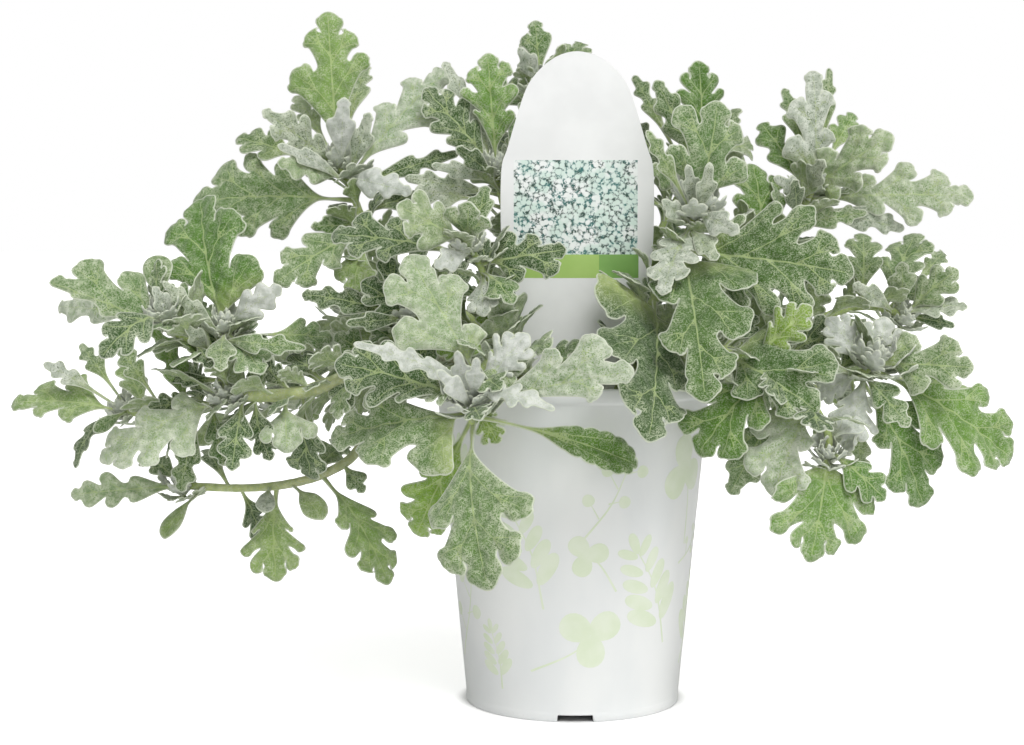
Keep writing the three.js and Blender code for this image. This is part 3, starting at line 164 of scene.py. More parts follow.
# Each shoot: its root as [bearing in degrees, distance from the pot's axis], its stem's radii, its stem
# and branches as [x, z, depth], and its leaves as [base x, base z, tip x, tip z, width, tip depth less
# base depth, form, tone, more]. Places are as seen from the eye; lobes are lobe tips where the form's own
# don't serve.
SHOOTS = [
    {"name": "shoot_top_left", "root": [172, 14], "radius": [2.2, 1.3],
     "stem": [[-24, 134, 0], [-50, 157, 0], [-75, 173, 3], [-84, 188, 7], [-88, 199, 10], [-95, 214, 14]],
     "branches": [],
     "leaves": [
         [-94, 213, -98.6, 274.5, 32, 6, "oak", "U", {"lobes": [[-87, 265], [-82, 257], [-107, 265],
           [-113, 250]]}],
         [-94, 214, -83, 253, 12, 14, "stalked", "P", {}],
         [-95, 214, -112, 241, 12, 12, "stalked", "L", {}],
         [-95, 213, -125, 235, 16, -8, "feather", "S", {"roll": 10}],
         [-94, 212, -92, 240, 12, -8, "trio", "W", {}],
         [-93, 211, -82, 234, 10, -12, "trio", "S", {}],
         [-94, 211, -136, 224, 15, 16, "stalked", "G", {}],
         [-94, 210, -119, 221, 7, -14, "trio", "S", {}],
         [-92, 207, -119, 214, 12, -20, "oak2", "L", {}],
         [-88, 199, -154, 198, 33, 2, "oak", "P", {"roll": 22, "lobes": [[-143, 214], [-132, 216],
           [-119, 212], [-142, 186], [-131, 183], [-118, 183]]}],
         [-84, 187, -89, 160, 18, -8, "trio", "U", {}],
         [-84, 189, -106, 188, 9, -10, "trio", "G", {}],
         [-84, 186, -121, 165, 20, -12, "oak2", "P", {"bend": 0.14}],
         [-93, 211, -65, 202, 12, -14, "oak2", "W", {"bend": 0.16}],
         [-93, 210, -50, 251, 28, 18, "oak", "L", {"lobes": [[-65, 248], [-55, 227], [-76, 238],
           [-68, 222]]}],
         [-92, 206, -46, 218, 9, 8, "oak2", "D", {}],
         [-86, 193, -62, 201, 11, 12, "trio", "D", {}]]},
    {"name": "shoot_centre_left", "root": [215, 20], "radius": [2.0, 1.2],
     "stem": [[-21, 130, -24], [-28, 152, -36], [-36, 169, -43], [-42, 181, -46]],
     "branches": [],
     "leaves": [
         [-42, 180, -71, 197, 22, -6, "oak2", "L", {}],
         [-42, 180, -42, 198, 18, -10, "trio", "P", {}],
         [-41, 179, -56, 172, 11, -12, "trio", "W", {}],
         [-40, 178, -35, 205, 11, 6, "trio", "G", {}],
         [-38, 173, -2.5, 179, 19, -10, "oak", "D", {"lobes": [[-24, 186], [-15, 185], [-6, 169],
           [-20, 166]]}],
         [-37, 171, -24, 157, 12, -12, "trio", "G", {}],
         [-37, 170, -36, 152, 14, -14, "oak2", "S", {}],
         [-24, 141, -31, 158, 24, -16, "trio", "L", {}],
         [-41, 180, -98, 185, 20, 14, "oak2", "D", {"roll": 25}]]},
    {"name": "shoot_upper_centre", "root": [120, 8], "radius": [2.0, 1.2],
     "stem": [[-8, 140, 8], [-20, 170, 10], [-28, 195, 10], [-31, 212, 10]],
     "branches": [],
     "leaves": [
         [-31, 211, -34.5, 258, 24, -2, "oak", "B", {}],
         [-31, 211, -52, 254.5, 8, 10, "oak2", "S", {"roll": 45}],
         [-31, 210, -60, 244, 22, -10, "oak", "D", {}],
         [-31, 209, -47, 220, 9, -16, "trio", "D", {}],
         [-30, 206, -57, 213, 7, -14, "trio", "S", {}],
         [-29, 201, -68, 208, 10, -4, "oak2", "S", {}],
         [-28, 196, -64, 203, 12, -10, "stalked", "S", {}],
         [-30, 208, -12, 240, 15, 22, "oak2", "G", {}],
         [-27, 190, -2, 214, 17, 26, "oak2", "D", {}]]},
    {"name": "shoot_back_centre", "root": [80, 14], "radius": [2.0, 1.2],
     "stem": [[2, 145, 24], [-2, 185, 34], [-9, 222, 40], [-13, 246, 40]],
     "branches": [],
     "leaves": [
         [-13, 244, -15.5, 271, 13, 2, "trio", "G", {}],
         [-13, 243, -22, 260, 8, -6, "trio", "S", {}],
         [-12, 240, 4, 262, 13, 18, "oak2", "G", {}],
         [-11, 232, -34, 246, 16, 24, "oak2", "G", {}],
         [-9, 222, 16, 240, 20, 26, "oak2", "G", {}],
         [-7, 212, -36, 224, 22, 34, "oak", "D", {}],
         [-4, 197, 24, 212, 22, 34, "oak", "G", {}],
         [-2, 185, -28, 190, 20, 36, "oak2", "D", {}]]},
    {"name": "shoot_front", "root": [240, 27], "radius": [2.3, 1.4],
     "stem": [[-18, 129, -40], [-26, 139, -55], [-34, 134, -67], [-40, 122, -75], [-41, 109, -78]],
     "branches": [],
     "leaves": [
         [-40, 117, -47, 138, 9, -6, "trio", "W", {}],
         [-40, 118, -39, 135, 8, -12, "trio", "W", {}],
         [-40, 114, -55, 130, 9, -14, "trio", "W", {}],
         [-39, 120, -18, 145, 22, -4, "oak", "W", {}],
         [-40, 117, 25, 130, 28, -4, "oak", "L", {"lobes": [[-4, 139], [11, 145], [13, 119]]}],
         [-41, 112, -7, 114, 10, -18, "feather", "W", {"bend": 0.2}],
         [-41, 112, 27, 91, 17, 8, "spoon", "E", {}],
         [-41, 109, -34, 39.5, 42, -10, "oak", "P", {"lobes": [[-55, 67], [-50, 49], [-14, 64],
           [-18, 50]]}],
         [-41, 110, -64, 62, 28, 10, "oak", "Y", {}],
         [-38, 126, -67, 177, 36, 6, "oak", "L", {"lobes": [[-73, 145], [-77, 163], [-39, 148],
           [-47, 168]]}],
         [-40, 118, -97, 133, 28, 10, "oak", "D", {"roll": 20}],
         [-40, 116, -89, 141, 10.4, -20, "feather", "W", {}],
         [-41, 110, -99, 102, 36, -2, "oak", "P", {"lobes": [[-84, 119], [-95, 111], [-57, 85],
           [-80, 89]]}]]},
    {"name": "shoot_left", "root": [190, 25], "radius": [2.8, 2.0],
     "stem": [[-35, 127, -10], [-56, 139, -18], [-80, 134, -22], [-100, 124, -22], [-118, 120, -22],
       [-140, 120, -20]],
     "branches": [
         [[-140, 120, -20], [-142, 135, -22], [-141, 149, -22]],
         [[-142, 135, -22], [-153, 141, -27], [-162, 146, -33], [-168, 153, -38]],
         [[-138, 120, -20], [-157, 113, -1], [-172, 111, 18], [-183, 114, 34]]],
     "leaves": [
         [-160, 145, -212, 166, 26, -8, "feather", "P", {"lobes": [[-180, 171], [-197, 175],
           [-181, 148], [-193, 153], [-204, 160]]}],
         [-168, 152, -209, 156, 14, 16, "oak2", "L", {}],
         [-168, 152, -168, 177, 12, 4, "spoon", "P", {}],
         [-167, 151, -192, 135, 18, -12, "oak2", "D", {"bend": 0.28}],
         [-163, 147, -170, 164, 9, -10, "trio", "S", {}],
         [-160, 145, -157, 166, 8, 10, "trio", "G", {}],
         [-157, 113, -170, 147, 11, -6, "oak2", "B", {"bend": 0.16}],
         [-165, 112, -184, 139, 12, 2, "stalked", "P", {}],
         [-173, 111, -183, 134, 13, 12, "oak2", "U", {}],
         [-180, 113, -200, 141, 9, 14, "stalked", "G", {}],
         [-182, 114, -215, 133, 9, -4, "stalked", "S", {}],
         [-182, 113, -228.5, 116.5, 19, 2, "oak", "U", {"lobes": [[-204, 125], [-217, 124],
           [-205, 107], [-216, 109]]}],
         [-180, 113, -203, 90, 8, -8, "oak2", "D", {"roll": 55, "bend": 0.2}],
         [-182, 113, -195, 105, 6, -12, "spoon", "G", {}],
         [-140, 119, -193, 93, 24, -16, "feather", "L", {"lobes": [[-162, 117], [-177, 110],
           [-191, 103], [-160, 93], [-174, 88], [-187, 86]]}],
         [-146, 117, -173, 115, 11, -8, "oak2", "D", {}],
         [-152, 115, -160, 80, 13, -4, "oak2", "G", {}],
         [-147, 117, -142, 91, 11, -12, "oak2", "G", {}],
         [-134, 120, -139, 89, 16, -12, "oak2", "D", {}],
         [-130, 120, -123, 93, 12, -4, "oak2", "D", {}],
         [-141, 148, -166, 166, 8, -10, "oak2", "S", {}],
         [-141, 148, -118, 164, 14, -8, "oak2", "W", {}],
         [-148, 138, -157, 148, 8, -10, "trio", "S", {}],
         [-141, 146, -143, 130, 12, -18, "trio", "P", {}],
         [-141, 146, -126, 129, 20, -12, "oak2", "P", {}],
         [-141, 147, -108, 139, 9, -6, "oak2", "P", {"bend": 0.24}],
         [-153, 141, -147, 131, 10, -10, "trio", "D", {}],
         [-141, 126, -164, 126, 7, 6, "trio", "D", {}],
         [-141, 146, -150, 200, 42, 12, "oak", "E", {"lobes": [[-161, 172], [-164, 187], [-124, 170],
           [-131, 188]]}],
         [-141, 145, -97, 143, 15, 12, "stalked", "P", {}],
         [-117, 120, -116, 96, 26, -10, "trio", "L", {}],
         [-110, 121, -106, 85, 20, 4, "oak2", "D", {}],
         [-86, 131, -97, 113, 12, -4, "trio", "D", {}]]},
    {"name": "shoot_lower_left", "root": [165, 25], "radius": [2.2, 1.3],
     "stem": [[-40, 130, 9], [-57, 137, 12], [-74, 122, 12], [-84, 103, 10], [-93, 92, 8],
       [-110, 85, 8], [-130, 82, 12], [-160, 83, 20]],
     "branches": [],
     "leaves": [
         [-157, 83, -205, 79, 15, -4, "oak", "L", {}],
         [-150, 82, -167, 61, 8, -8, "spoon", "U", {"roll": 55}],
         [-121, 83, -121, 43, 26, -8, "oak", "U", {}],
         [-115, 84, -102, 69, 10, -14, "spoon", "U", {}],
         [-102, 88, -75, 42, 20, -18, "oak", "U", {"roll": 40}],
         [-123, 82, -126, 72, 8, -14, "spoon", "S", {}],
         [-94, 92, -85, 80, 9, -8, "trio", "G", {}],
         [-158, 83, -176, 96, 10, 12, "oak2", "G", {}],
         [-140, 82, -150, 98, 9, 16, "trio", "D", {}],
         [-135, 82, -128, 62, 11, 16, "oak2", "D", {}],
         [-108, 86, -92, 100, 14, 22, "oak2", "P", {}]]},
    {"name": "shoot_mid_left", "root": [200, 15], "radius": [1.8, 1.1],
     "stem": [[-26, 128, -12], [-44, 142, -20], [-60, 149, -25], [-70, 153, -27]],
     "branches": [],
     "leaves": [
         [-60, 149, -86, 166, 24, -6, "oak2", "D", {"lobes": [[-75, 177], [-66, 165], [-82, 152],
           [-88, 159]]}],
         [-66, 151, -92, 149, 8, -10, "trio", "D", {}],
         [-69, 153, -110, 161, 12, 2, "oak2", "D", {}],
         [-52, 146, -66, 132, 14, -4, "oak2", "D", {}]]},
    {"name": "shoot_right_centre", "root": [330, 23], "radius": [2.2, 1.2],
     "stem": [[26, 127, -22], [31, 155, -31], [43, 178, -35], [50, 196, -36]],
     "branches": [],
     "leaves": [
         [50, 196, 58, 239, 34, -2, "oak", "P", {"lobes": [[37, 222], [41, 237], [69, 214], [67, 228]]}],
         [48, 192, 29.5, 227, 9, -8, "stalked", "P", {}],
         [50, 195, 46, 213, 8, -14, "trio", "S", {}],
         [50, 196, 55, 214, 8, -18, "trio", "S", {}],
         [49, 193, 36, 199, 9, -12, "trio", "S", {}],
         [50, 194, 67, 186, 12, -14, "trio", "S", {}],
         [49, 193, 58, 175, 10, -18, "trio", "S", {}],
         [47, 190, 36, 161, 20, -14, "feather", "S", {}],
         [43, 178, 114, 169, 44, -4, "oak", "G", {"lobes": [[70, 192], [84, 197], [97, 195],
           [106, 183], [72, 153], [83, 150], [97, 152], [107, 160]]}],
         [44, 180, 54, 117, 42, -24, "oak", "G", {"lobes": [[34, 152], [38, 133], [74, 161], [71, 142],
           [65, 128]]}],
         [32, 160, 31, 101, 40, -34, "oak", "D", {"lobes": [[4, 146], [10, 128], [18, 110], [46, 139],
           [45, 123], [42, 110]]}]]},
    {"name": "shoot_right_upper", "root": [50, 12], "radius": [2.0, 1.2],
     "stem": [[20, 150, 16], [36, 188, 24], [48, 210, 28], [53, 217, 30]],
     "branches": [],
     "leaves": [
         [50, 213, 50, 255, 22, 4, "oak", "E", {}],
         [50, 212, 33, 247, 14, -8, "oak2", "G", {}],
         [47, 208, 24, 249, 9, 8, "stalked", "G", {}],
         [53, 216, 67, 236, 10, 10, "trio", "G", {}],
         [44, 202, 22, 232, 12, 20, "oak2", "D", {}],
         [45, 204, 31, 212, 12, -12, "trio", "P", {}],
         [52, 214, 72, 222, 16, 24, "oak2", "P", {}],
         [40, 195, 12, 206, 20, 26, "oak2", "D", {}]]},
    {"name": "shoot_right_top", "root": [10, 14], "radius": [2.2, 1.3],
     "stem": [[34, 141, 2], [60, 165, 4], [80, 182, 6], [92, 195, 9], [98, 206, 12]],
     "branches": [],
     "leaves": [
         [76, 178, 72, 214, 26, 12, "oak2", "E", {}],
         [95, 201, 75, 230, 14, 10, "oak2", "E", {}],
         [97, 204, 84.5, 244, 10, 16, "stalked", "G", {}],
         [97, 205, 96, 251, 20, -4, "oak", "S", {"lobes": [[84, 222], [86, 237], [103, 226], [103, 241]]}],
         [98, 206, 103, 252, 9, 8, "stalked", "G", {}],
         [98, 206, 113, 234, 13, 12, "stalked", "B", {}],
         [97, 203, 101, 215, 9, -14, "trio", "S", {}],
         [97, 203, 129, 225, 28, -8, "oak", "L", {"lobes": [[104, 220], [116, 229], [110, 200],
           [120, 205], [129, 214]]}],
         [95, 199, 162, 200.5, 24, 6, "oak", "L", {"lobes": [[121, 208], [136, 213], [150, 209],
           [125, 192], [139, 188], [152, 193]]}],
         [92, 196, 134, 187, 10, -10, "oak2", "S", {"bend": 0.16}],
         [86, 188, 119, 194, 9, -6, "oak2", "P", {}],
         [90, 192, 89, 207, 9, -14, "trio", "D", {}],
         [96, 202, 81, 208, 8, -14, "trio", "S", {}],
         [84, 185, 102, 172, 16, 14, "oak2", "D", {}]]},
    {"name": "shoot_right", "root": [15, 24], "radius": [2.2, 1.4],
     "stem": [[48, 137, 14], [72, 142, 18], [93, 147, 20], [113, 156, 24], [126, 155, 27],
       [134, 152, 29]],
     "branches": [],
     "leaves": [
         [117, 156, 117, 186, 18, 10, "oak2", "P", {}],
         [126, 155, 139, 186, 20, 12, "oak2", "P", {}],
         [134, 152, 156, 171, 16, -4, "oak2", "P", {}],
         [133, 152, 133, 174, 12, -8, "trio", "P", {}],
         [130, 153, 113.5, 165, 9, -12, "trio", "S", {}],
         [134, 152, 160, 156, 9, -8, "oak2", "S", {"roll": 50}],
         [134, 152, 155, 148, 7, 6, "trio", "D", {}],
         [131, 153, 150, 178, 10, 20, "stalked", "G", {}],
         [120, 156, 106, 172, 12, 16, "trio", "Y", {}],
         [100, 150, 92, 166, 14, 18, "oak2", "D", {}],
         [108, 154, 118, 140, 12, 18, "oak2", "L", {}]]},
    {"name": "shoot_right_lower", "root": [350, 27], "radius": [2.2, 1.3],
     "stem": [[40, 132, -16], [60, 136, -24], [85, 132, -31], [105, 128, -38], [118, 129, -43],
       [123, 134, -45]],
     "branches": [],
     "leaves": [
         [120, 131, 103, 152, 18, 4, "oak", "W", {}],
         [118, 129, 98, 119, 14, 2, "oak2", "W", {}],
         [117, 129, 90, 134, 8, -6, "oak2", "S", {}],
         [123, 133, 127, 152, 17, 4, "trio", "W", {}],
         [119, 130, 111, 98, 22, -8, "oak", "W", {}],
         [123, 133, 163, 131, 24, -6, "oak", "P", {"lobes": [[140, 144], [156, 142], [144, 121],
           [158, 123]]}],
         [122, 132, 163, 121, 10, 12, "stalked", "U", {}],
         [121, 131, 179, 93, 34, 6, "oak", "B", {"lobes": [[152, 125], [169, 120], [178, 108],
           [141, 97], [154, 86], [168, 88]]}],
         [121, 130, 137, 107, 14, -10, "oak2", "G", {}],
         [119, 129, 143, 74, 30, -4, "oak", "E", {"lobes": [[144, 109], [150, 93], [123, 99], [127, 82]]}],
         [116, 129, 118, 85, 10, 10, "stalked", "P", {}]]},
    {"name": "shoot_right_front", "root": [305, 27], "radius": [2.2, 1.4],
     "stem": [[34, 133, -36], [56, 139, -47], [78, 132, -55], [95, 119, -60], [104, 104, -62],
       [104, 96, -62]],
     "branches": [],
     "leaves": [
         [59, 139, 100, 113, 36, -8, "oak", "G", {"roll": 20, "lobes": [[92, 151], [106, 134],
           [73, 116], [89, 109]]}],
         [80, 130, 51, 95, 30, -8, "oak", "E", {"lobes": [[43, 107], [53, 120], [68, 93], [78, 104]]}],
         [88, 125, 64, 79, 17, 6, "oak2", "P", {}],
         [97, 116, 82, 78, 36, -12, "oak", "L", {"lobes": [[73, 107], [71, 91], [97, 96], [95, 80]]}],
         [104, 97, 97, 51, 44, -12, "oak", "B", {"lobes": [[80, 76], [79, 63], [87, 54], [108, 54],
           [119, 60], [122, 73]]}],
         [104, 98, 128, 77, 16, 4, "oak2", "E", {}],
         [104, 102, 118, 110, 11, 10, "trio", "W", {}]]},
]

# Shoots at the back, placed by rule: [name, root bearing, root distance, tip as x, y, z, leaves].
BACK_SHOOTS = [
    ["shoot_back_left", 140, 26, [-100, 110, 155], 7],
    ["shoot_back_middle", 100, 26, [-14, 132, 177], 8],
    ["shoot_back_right", 62, 26, [90, 110, 157], 7],
    ["shoot_back_low_left", 158, 38, [-128, 60, 117], 5],
    ["shoot_back_low_middle", 115, 38, [-40, 140, 105], 5],
    ["shoot_back_low_right", 35, 36, [122, 64, 117], 5],
]


def unit(v):
    return v / np.linalg.norm(v)


def units(vectors):
    return vectors / np.linalg.norm(vectors, axis=1)[:, None]


def seen(x, z, depth):
    share = (depth - EYE[1]) / -EYE[1]
    return EYE + (np.array([x, 0.0, z + FLOOR_TOP]) - EYE) * share


def draw(leaf, trait):
    """A repeatable number from 0 to 1 for leaf number leaf and trait number trait."""
    x = math.sin(leaf * 12.9898 + trait * 78.233) * 43758.5453
    return x - math.floor(x)


def draw_around(middle_and_spread, leaf, trait):
    middle, spread = middle_and_spread
    return middle + (draw(leaf, trait) - 0.5) * 2 * spread


def mixed(shares, *ways):
    """The sum of directions, each by its share."""
    return sum(way * share for way, share in zip(ways, shares))


def spray_way(degrees, across, third):
    """The way from across towards third by an angle."""
    turn = math.radians(degrees)
    return across * math.cos(turn) + third * math.sin(turn)


def curve_through(places, counts):
    """A centripetal Catmull-Rom curve through places, with counts[i] steps on the stretch after place i."""
    p = [np.asarray(place, float) for place in places]
    p = [2 * p[0] - p[1], *p, 2 * p[-1] - p[-2]]
    out = []
    for i in range(1, len(p) - 2):
        d0, d1, d2 = [max(float(np.sum((p[i + k] - p[i + k - 1]) ** 2)) ** 0.25, 1e-4) for k in range(3)]
        t1 = ((p[i] - p[i - 1]) / d0 - (p[i + 1] - p[i - 1]) / (d0 + d1) + (p[i + 1] - p[i]) / d1) * d1
        t2 = ((p[i + 1] - p[i]) / d1 - (p[i + 2] - p[i]) / (d1 + d2) + (p[i + 2] - p[i + 1]) / d2) * d1
        w = np.arange(counts[i - 1])[:, None] / counts[i - 1]
        out.append(
            p[i]
            + t1 * w
            + (-3 * p[i] + 3 * p[i + 1] - 2 * t1 - t2) * w**2
            + (2 * p[i] - 2 * p[i + 1] + t1 + t2) * w**3
        )
    out.append(p[-2][None, :])
    return np.concatenate(out)


def stem_line(places, start, end):
    """The solids' line through the given places, as points and radii."""
    stretches = len(places) - 1
    steps = len(places) + 1
    curve = curve_through(places, [STEM_FINE * steps] * stretches)
    at = curve[:: STEM_FINE * stretches]
    return at, start + (end - start) * np.arange(len(at)) / steps


def root_place(root, height):
    bearing = math.radians(root[0])
    return np.array([root[1] * math.cos(bearing), root[1] * math.sin(bearing), SOIL_TOP + height])


def main_line(root, places, start, end):
    at, radii = stem_line([root_place(root, ROOT_RISE), *places], start, end)
    return np.vstack([root_place(root, -ROOT_DEPTH), at]), np.concatenate([[start], radii])


def lines_of(shoot):
    start, end = shoot["radius"]
    main = main_line(shoot["root"], [seen(x, z, y) for x, z, y in shoot["stem"]], start, end)
    rest = [stem_line([seen(x, z, y) for x, z, y in branch], end, 1) for branch in shoot["branches"]]
    return [main, *rest]


def back_line(bearing, distance, tip):
    start = root_place([bearing, distance], ROOT_RISE)
    end = np.array(tip, float)
    along, share = BACK_ARCH_PLACE
    arch = start + (end - start) * along
    arch[2] = max(start[2], end[2] * share) + BACK_ARCH
    along, arch_share, end_share = BACK_SLOPE_PLACE
    slope = start + (end - start) * along
    slope[2] = arch[2] * arch_share + end[2] * end_share
    return main_line([bearing, distance], [arch, slope, end], *BACK_RADIUS)


def perches_of(lines):
    """Places along the shoot's lines clear of the pot and the soil, from the root outwards."""
    perches = []
    for at, _ in lines:
        for a, b in zip(at, at[1:]):
            count = max(1, math.floor(np.linalg.norm(b - a) / PERCH_STEP + 0.5))
            perches.append(a + (b - a) * (np.arange(count) / count)[:, None])
    perches = np.concatenate(perches)
    outside = np.hypot(perches[:, 0], perches[:, 1]) > RIM_RADIUS + POT_CLEARANCE
    perches = perches[outside | (perches[:, 2] > SOIL_TOP + ROOT_RISE - 1)]
    return SimpleNamespace(at=perches, taken=np.zeros(len(perches), bool))


def perch_seen_at(perches, x, z):
    """The free perch that shows nearest to [x, z]; the perches beside it are taken with it."""
    share = (perches.at[:, 1:2] - EYE[1]) / -EYE[1]
    wanted = EYE + (np.array([x, 0.0, z + FLOOR_TOP]) - EYE) * share
    gaps = np.linalg.norm(perches.at - wanted, axis=1)
    gaps[perches.taken] = np.inf
    best = perches.at[int(np.argmin(gaps))]
    perches.taken |= np.linalg.norm(perches.at - best, axis=1) < PERCH_APART
    return best


def leaf_frame(leaf):
    """along runs from base to tip, face is the way the upper side looks, side is the leaf's right."""
    along = leaf.tip - leaf.base
    length = float(np.linalg.norm(along))
    along = along / length
    middle = (leaf.base + leaf.tip) / 2
    look = unit(EYE - middle) if leaf.look is None else leaf.look
    face = unit(look - along * (look @ along))
    side = np.cross(along, face)
    upward = side[2] + side[0] * SIDE_LEAN * np.sign(middle[0])
    turn = math.radians(leaf.roll) * (-1 if upward < 0 else 1)
    face = face * math.cos(turn) + side * math.sin(turn)
    return SimpleNamespace(along=along, length=length, face=face, side=np.cross(along, face))


def surface_points(leaf, around, y, x, h):
    """Points of a leaf's middle surface at y along the midrib and x across, lifted by h."""
    t = y / around.length
    rise = leaf.bend * around.length
    at = leaf.base + around.along * y[:, None] + around.face * (rise * 4 * t * (1 - t))[:, None]
    tangent = units(around.along + around.face * (leaf.bend * 4 * (1 - 2 * t))[:, None])
    up = units(around.face - tangent * (tangent @ around.face)[:, None])
    twist = (np.radians(leaf.twist) * (t - TWIST_START))[:, None]
    side = np.cross(tangent, up)
    across_way = side * np.cos(twist) + up * np.sin(twist)
    up_way = up * np.cos(twist) - side * np.sin(twist)
    half = leaf.width / 2
    out = np.minimum(np.abs(x) / half, WAVE_REACH)
    wave = np.sin(leaf.phase + WAVE_SPEED * t + np.where(x > 0, WAVE_SLIP, 0))
    fold = math.radians(leaf.fold)
    lift = np.abs(x) * math.sin(fold) - CURL * x * x / half + leaf.wave * half * wave * out
    return at + across_way * (x * math.cos(fold))[:, None] + up_way * (lift + h)[:, None]


def blade_samples(leaf):
    """Samples of a leaf's blade, which the clearance between leaves is measured on."""
    around = leaf_frame(leaf)
    half = leaf.width / 2
    start = FORMS[leaf.form]["start"]
    rows = max(3, math.floor(around.length * (1 - start) / SAMPLE_GAP + 0.5))
    columns = max(1, math.floor(half / SAMPLE_GAP + 0.5))
    first, last = SAMPLE_ENDS
    t = start + first + (last - start) * np.arange(rows + 1) / rows
    (foot, foot_rise), (tip, tip_rise) = SAMPLE_FOOT, SAMPLE_TIP
    spread = half * np.minimum(1, foot + (t - start) * foot_rise) * np.minimum(1, tip + (1 - t) * tip_rise)
    k = np.arange(-columns, columns + 1) / columns
    y = np.repeat(t * around.length, len(k))
    x = (spread[:, None] * k[None, :]).ravel()
    return surface_points(leaf, around, y, x, np.zeros(len(y)))


def bounds_of(points):
    middle = (points.min(0) + points.max(0)) / 2
    return middle, float(np.linalg.norm(points - middle, axis=1).max())


class Crowd:
    """What stands already: groups of points, each with its middle, reach, owner and needed clearance."""

    def __init__(self):
        self.points, self.middles, self.reaches, self.owners, self.stems, self.needs = [], [], [], [], [], []

    def add(self, points, owner, need, stem=False):
        middle, reach = bounds_of(points)
        self.points.append(points)
        self.middles.append(middle)
        self.reaches.append(reach)
        self.owners.append(owner)
        self.stems.append(stem)
        self.needs.append(need)

    def room(self, samples, owner, sister_need):
        """The least of the samples' distances to what stands already, less what each of them needs."""
        middle, reach = bounds_of(samples)
        gaps = np.linalg.norm(np.array(self.middles) - middle, axis=1)
        near = np.flatnonzero(gaps <= reach + np.array(self.reaches) + CLEARANCE)
        room = np.inf
        for i in near:
            own = self.owners[i] == owner
            if own and self.stems[i]:
                continue
            need = sister_need if own else self.needs[i]
            apart = np.linalg.norm(samples[:, None] - self.points[i][None], axis=2).min()
            room = min(room, apart - need)
        radii = np.hypot(samples[:, 0], samples[:, 1])
        walls = np.where(
            samples[:, 2] > POT_HEIGHT - RIM_HEIGHT, RIM_RADIUS, FOOT_RADIUS + WALL_SLOPE * samples[:, 2]
        )
        pot_room = np.where(samples[:, 2] > POT_HEIGHT + POT_CLEARANCE, np.inf, radii - walls)
        return min(room, pot_room.min() - POT_CLEARANCE, samples[:, 2].min() - POT_CLEARANCE)


def settle(leaf, crowd, owner, sister_need=SISTER_CLEARANCE, tries=SHIFT_TRIES, must_fit=False):
    """Bends a leaf clear of what stands already and adds it. False if it must fit and can't."""
    wanted = leaf.tip_depth
    best = None
    for k in range(tries):
        depth = wanted + SHIFT_STEP * ((k + 1) / 2 if k % 2 else -k / 2)
        leaf.tip = leaf.tip_at(depth)
        samples = blade_samples(leaf)
        room = crowd.room(samples, owner, sister_need)
        if best is None or room > best.room + 1e-6:
            best = SimpleNamespace(room=room, depth=depth, samples=samples)
        if room >= 0:
            break
    if must_fit and best.room < 0:
        return False
    leaf.tip = leaf.tip_at(best.depth)
    crowd.add(best.samples, owner, CLEARANCE)
    return True


def traits_of(number, more):
    """A leaf's own traits, drawn by its number."""
    return {
        "number": number,
        "roll": more.get("roll", draw_around(ROLL, number, 1)),
        "bend": more.get("bend", draw_around(BEND, number, 2)),
        "fold": draw_around(FOLD, number, 3),
        "twist": draw_around(TWIST, number, 4),
        "wave": draw_around(WAVE, number, 5),
        "phase": draw(number, 6) * 2 * math.pi,
    }


def seen_leaf(row, perches, number):
    base_x, base_z, tip_x, tip_z, width, dip, form, tone, more = row
    base = perch_seen_at(perches, base_x, base_z)
    traits = traits_of(number, more)
    seen_length = math.hypot(tip_x - base_x, tip_z - base_z)
    reach = dip * DIP_SHARE + draw_around([0, DEPTH_SPREAD * seen_length], number, 8)
    scale = (base[1] + reach / 2 - EYE[1]) / -EYE[1]
    return SimpleNamespace(
        **traits,
        form=form,
        tone=tone,
        base=base,
        look=None,
        lobes=more.get("lobes"),
        seen_base=(base_x, base_z),
        seen_tip=(tip_x, tip_z),
        seen_width=width,
        width=width * scale / math.cos(math.radians(min(traits["roll"], 40))),
        tip_depth=base[1] + reach,
        tip_at=lambda depth: seen(tip_x, tip_z, depth),
    )


def ruled_leaf(number, base, heading, look, size, width, form, tone, shift_way, bend=None):
    """A leaf placed by rule: heading and look are directions, and shift_way is how it may be bent clear."""
    target = base + unit(heading) * size
    traits = traits_of(number, {} if bend is None else {"bend": bend})
    return SimpleNamespace(
        **traits,
        form=form,
        tone=tone,
        base=base,
        look=unit(look),
        lobes=None,
        width=width,
        tip_depth=0,
        tip_at=lambda shift: target + shift_way * shift,
    )


def back_leaves(line, count, tip, first_number):
    """Leaves of a back shoot go round its stem by the golden angle, larger lower down."""
    at, _ = line
    outward = unit(np.array([tip[0], tip[1], 0.0]))
    leaves = []
    for i in range(count):
        number = first_number + i
        share = BACK_FROM[0] + BACK_FROM[1] * (i + 1) / count
        place = share * (len(at) - 1)
        index = min(math.floor(place), len(at) - 2)
        base = at[index] + (at[index + 1] - at[index]) * (place - index)
        way = unit(at[index + 1] - at[index])
        across = unit(UP - way * way[2])
        third = np.cross(way, across)
        own = BACK_SIZE_DRAW[0] + BACK_SIZE_DRAW[1] * draw(number, 7)
        size = BACK_LEAF * (BACK_SIZE[0] - BACK_SIZE[1] * share) * own
        spray = spray_way(GOLDEN_ANGLE * i + BACK_TURN, across, third)
        heading = mixed(BACK_HEADING, spray, way, UP)
        form = "oak" if i < count - 2 else "oak2"
        tone = BACK_TONES[i % len(BACK_TONES)] if i < count - 2 else "S"
        look, shift_way = mixed(BACK_LOOK, outward, UP), mixed(BACK_SHIFT, outward, UP)
        width = size * BACK_WIDTH
        leaves.append(ruled_leaf(number, base, heading, look, size, width, form, tone, shift_way))
    return leaves


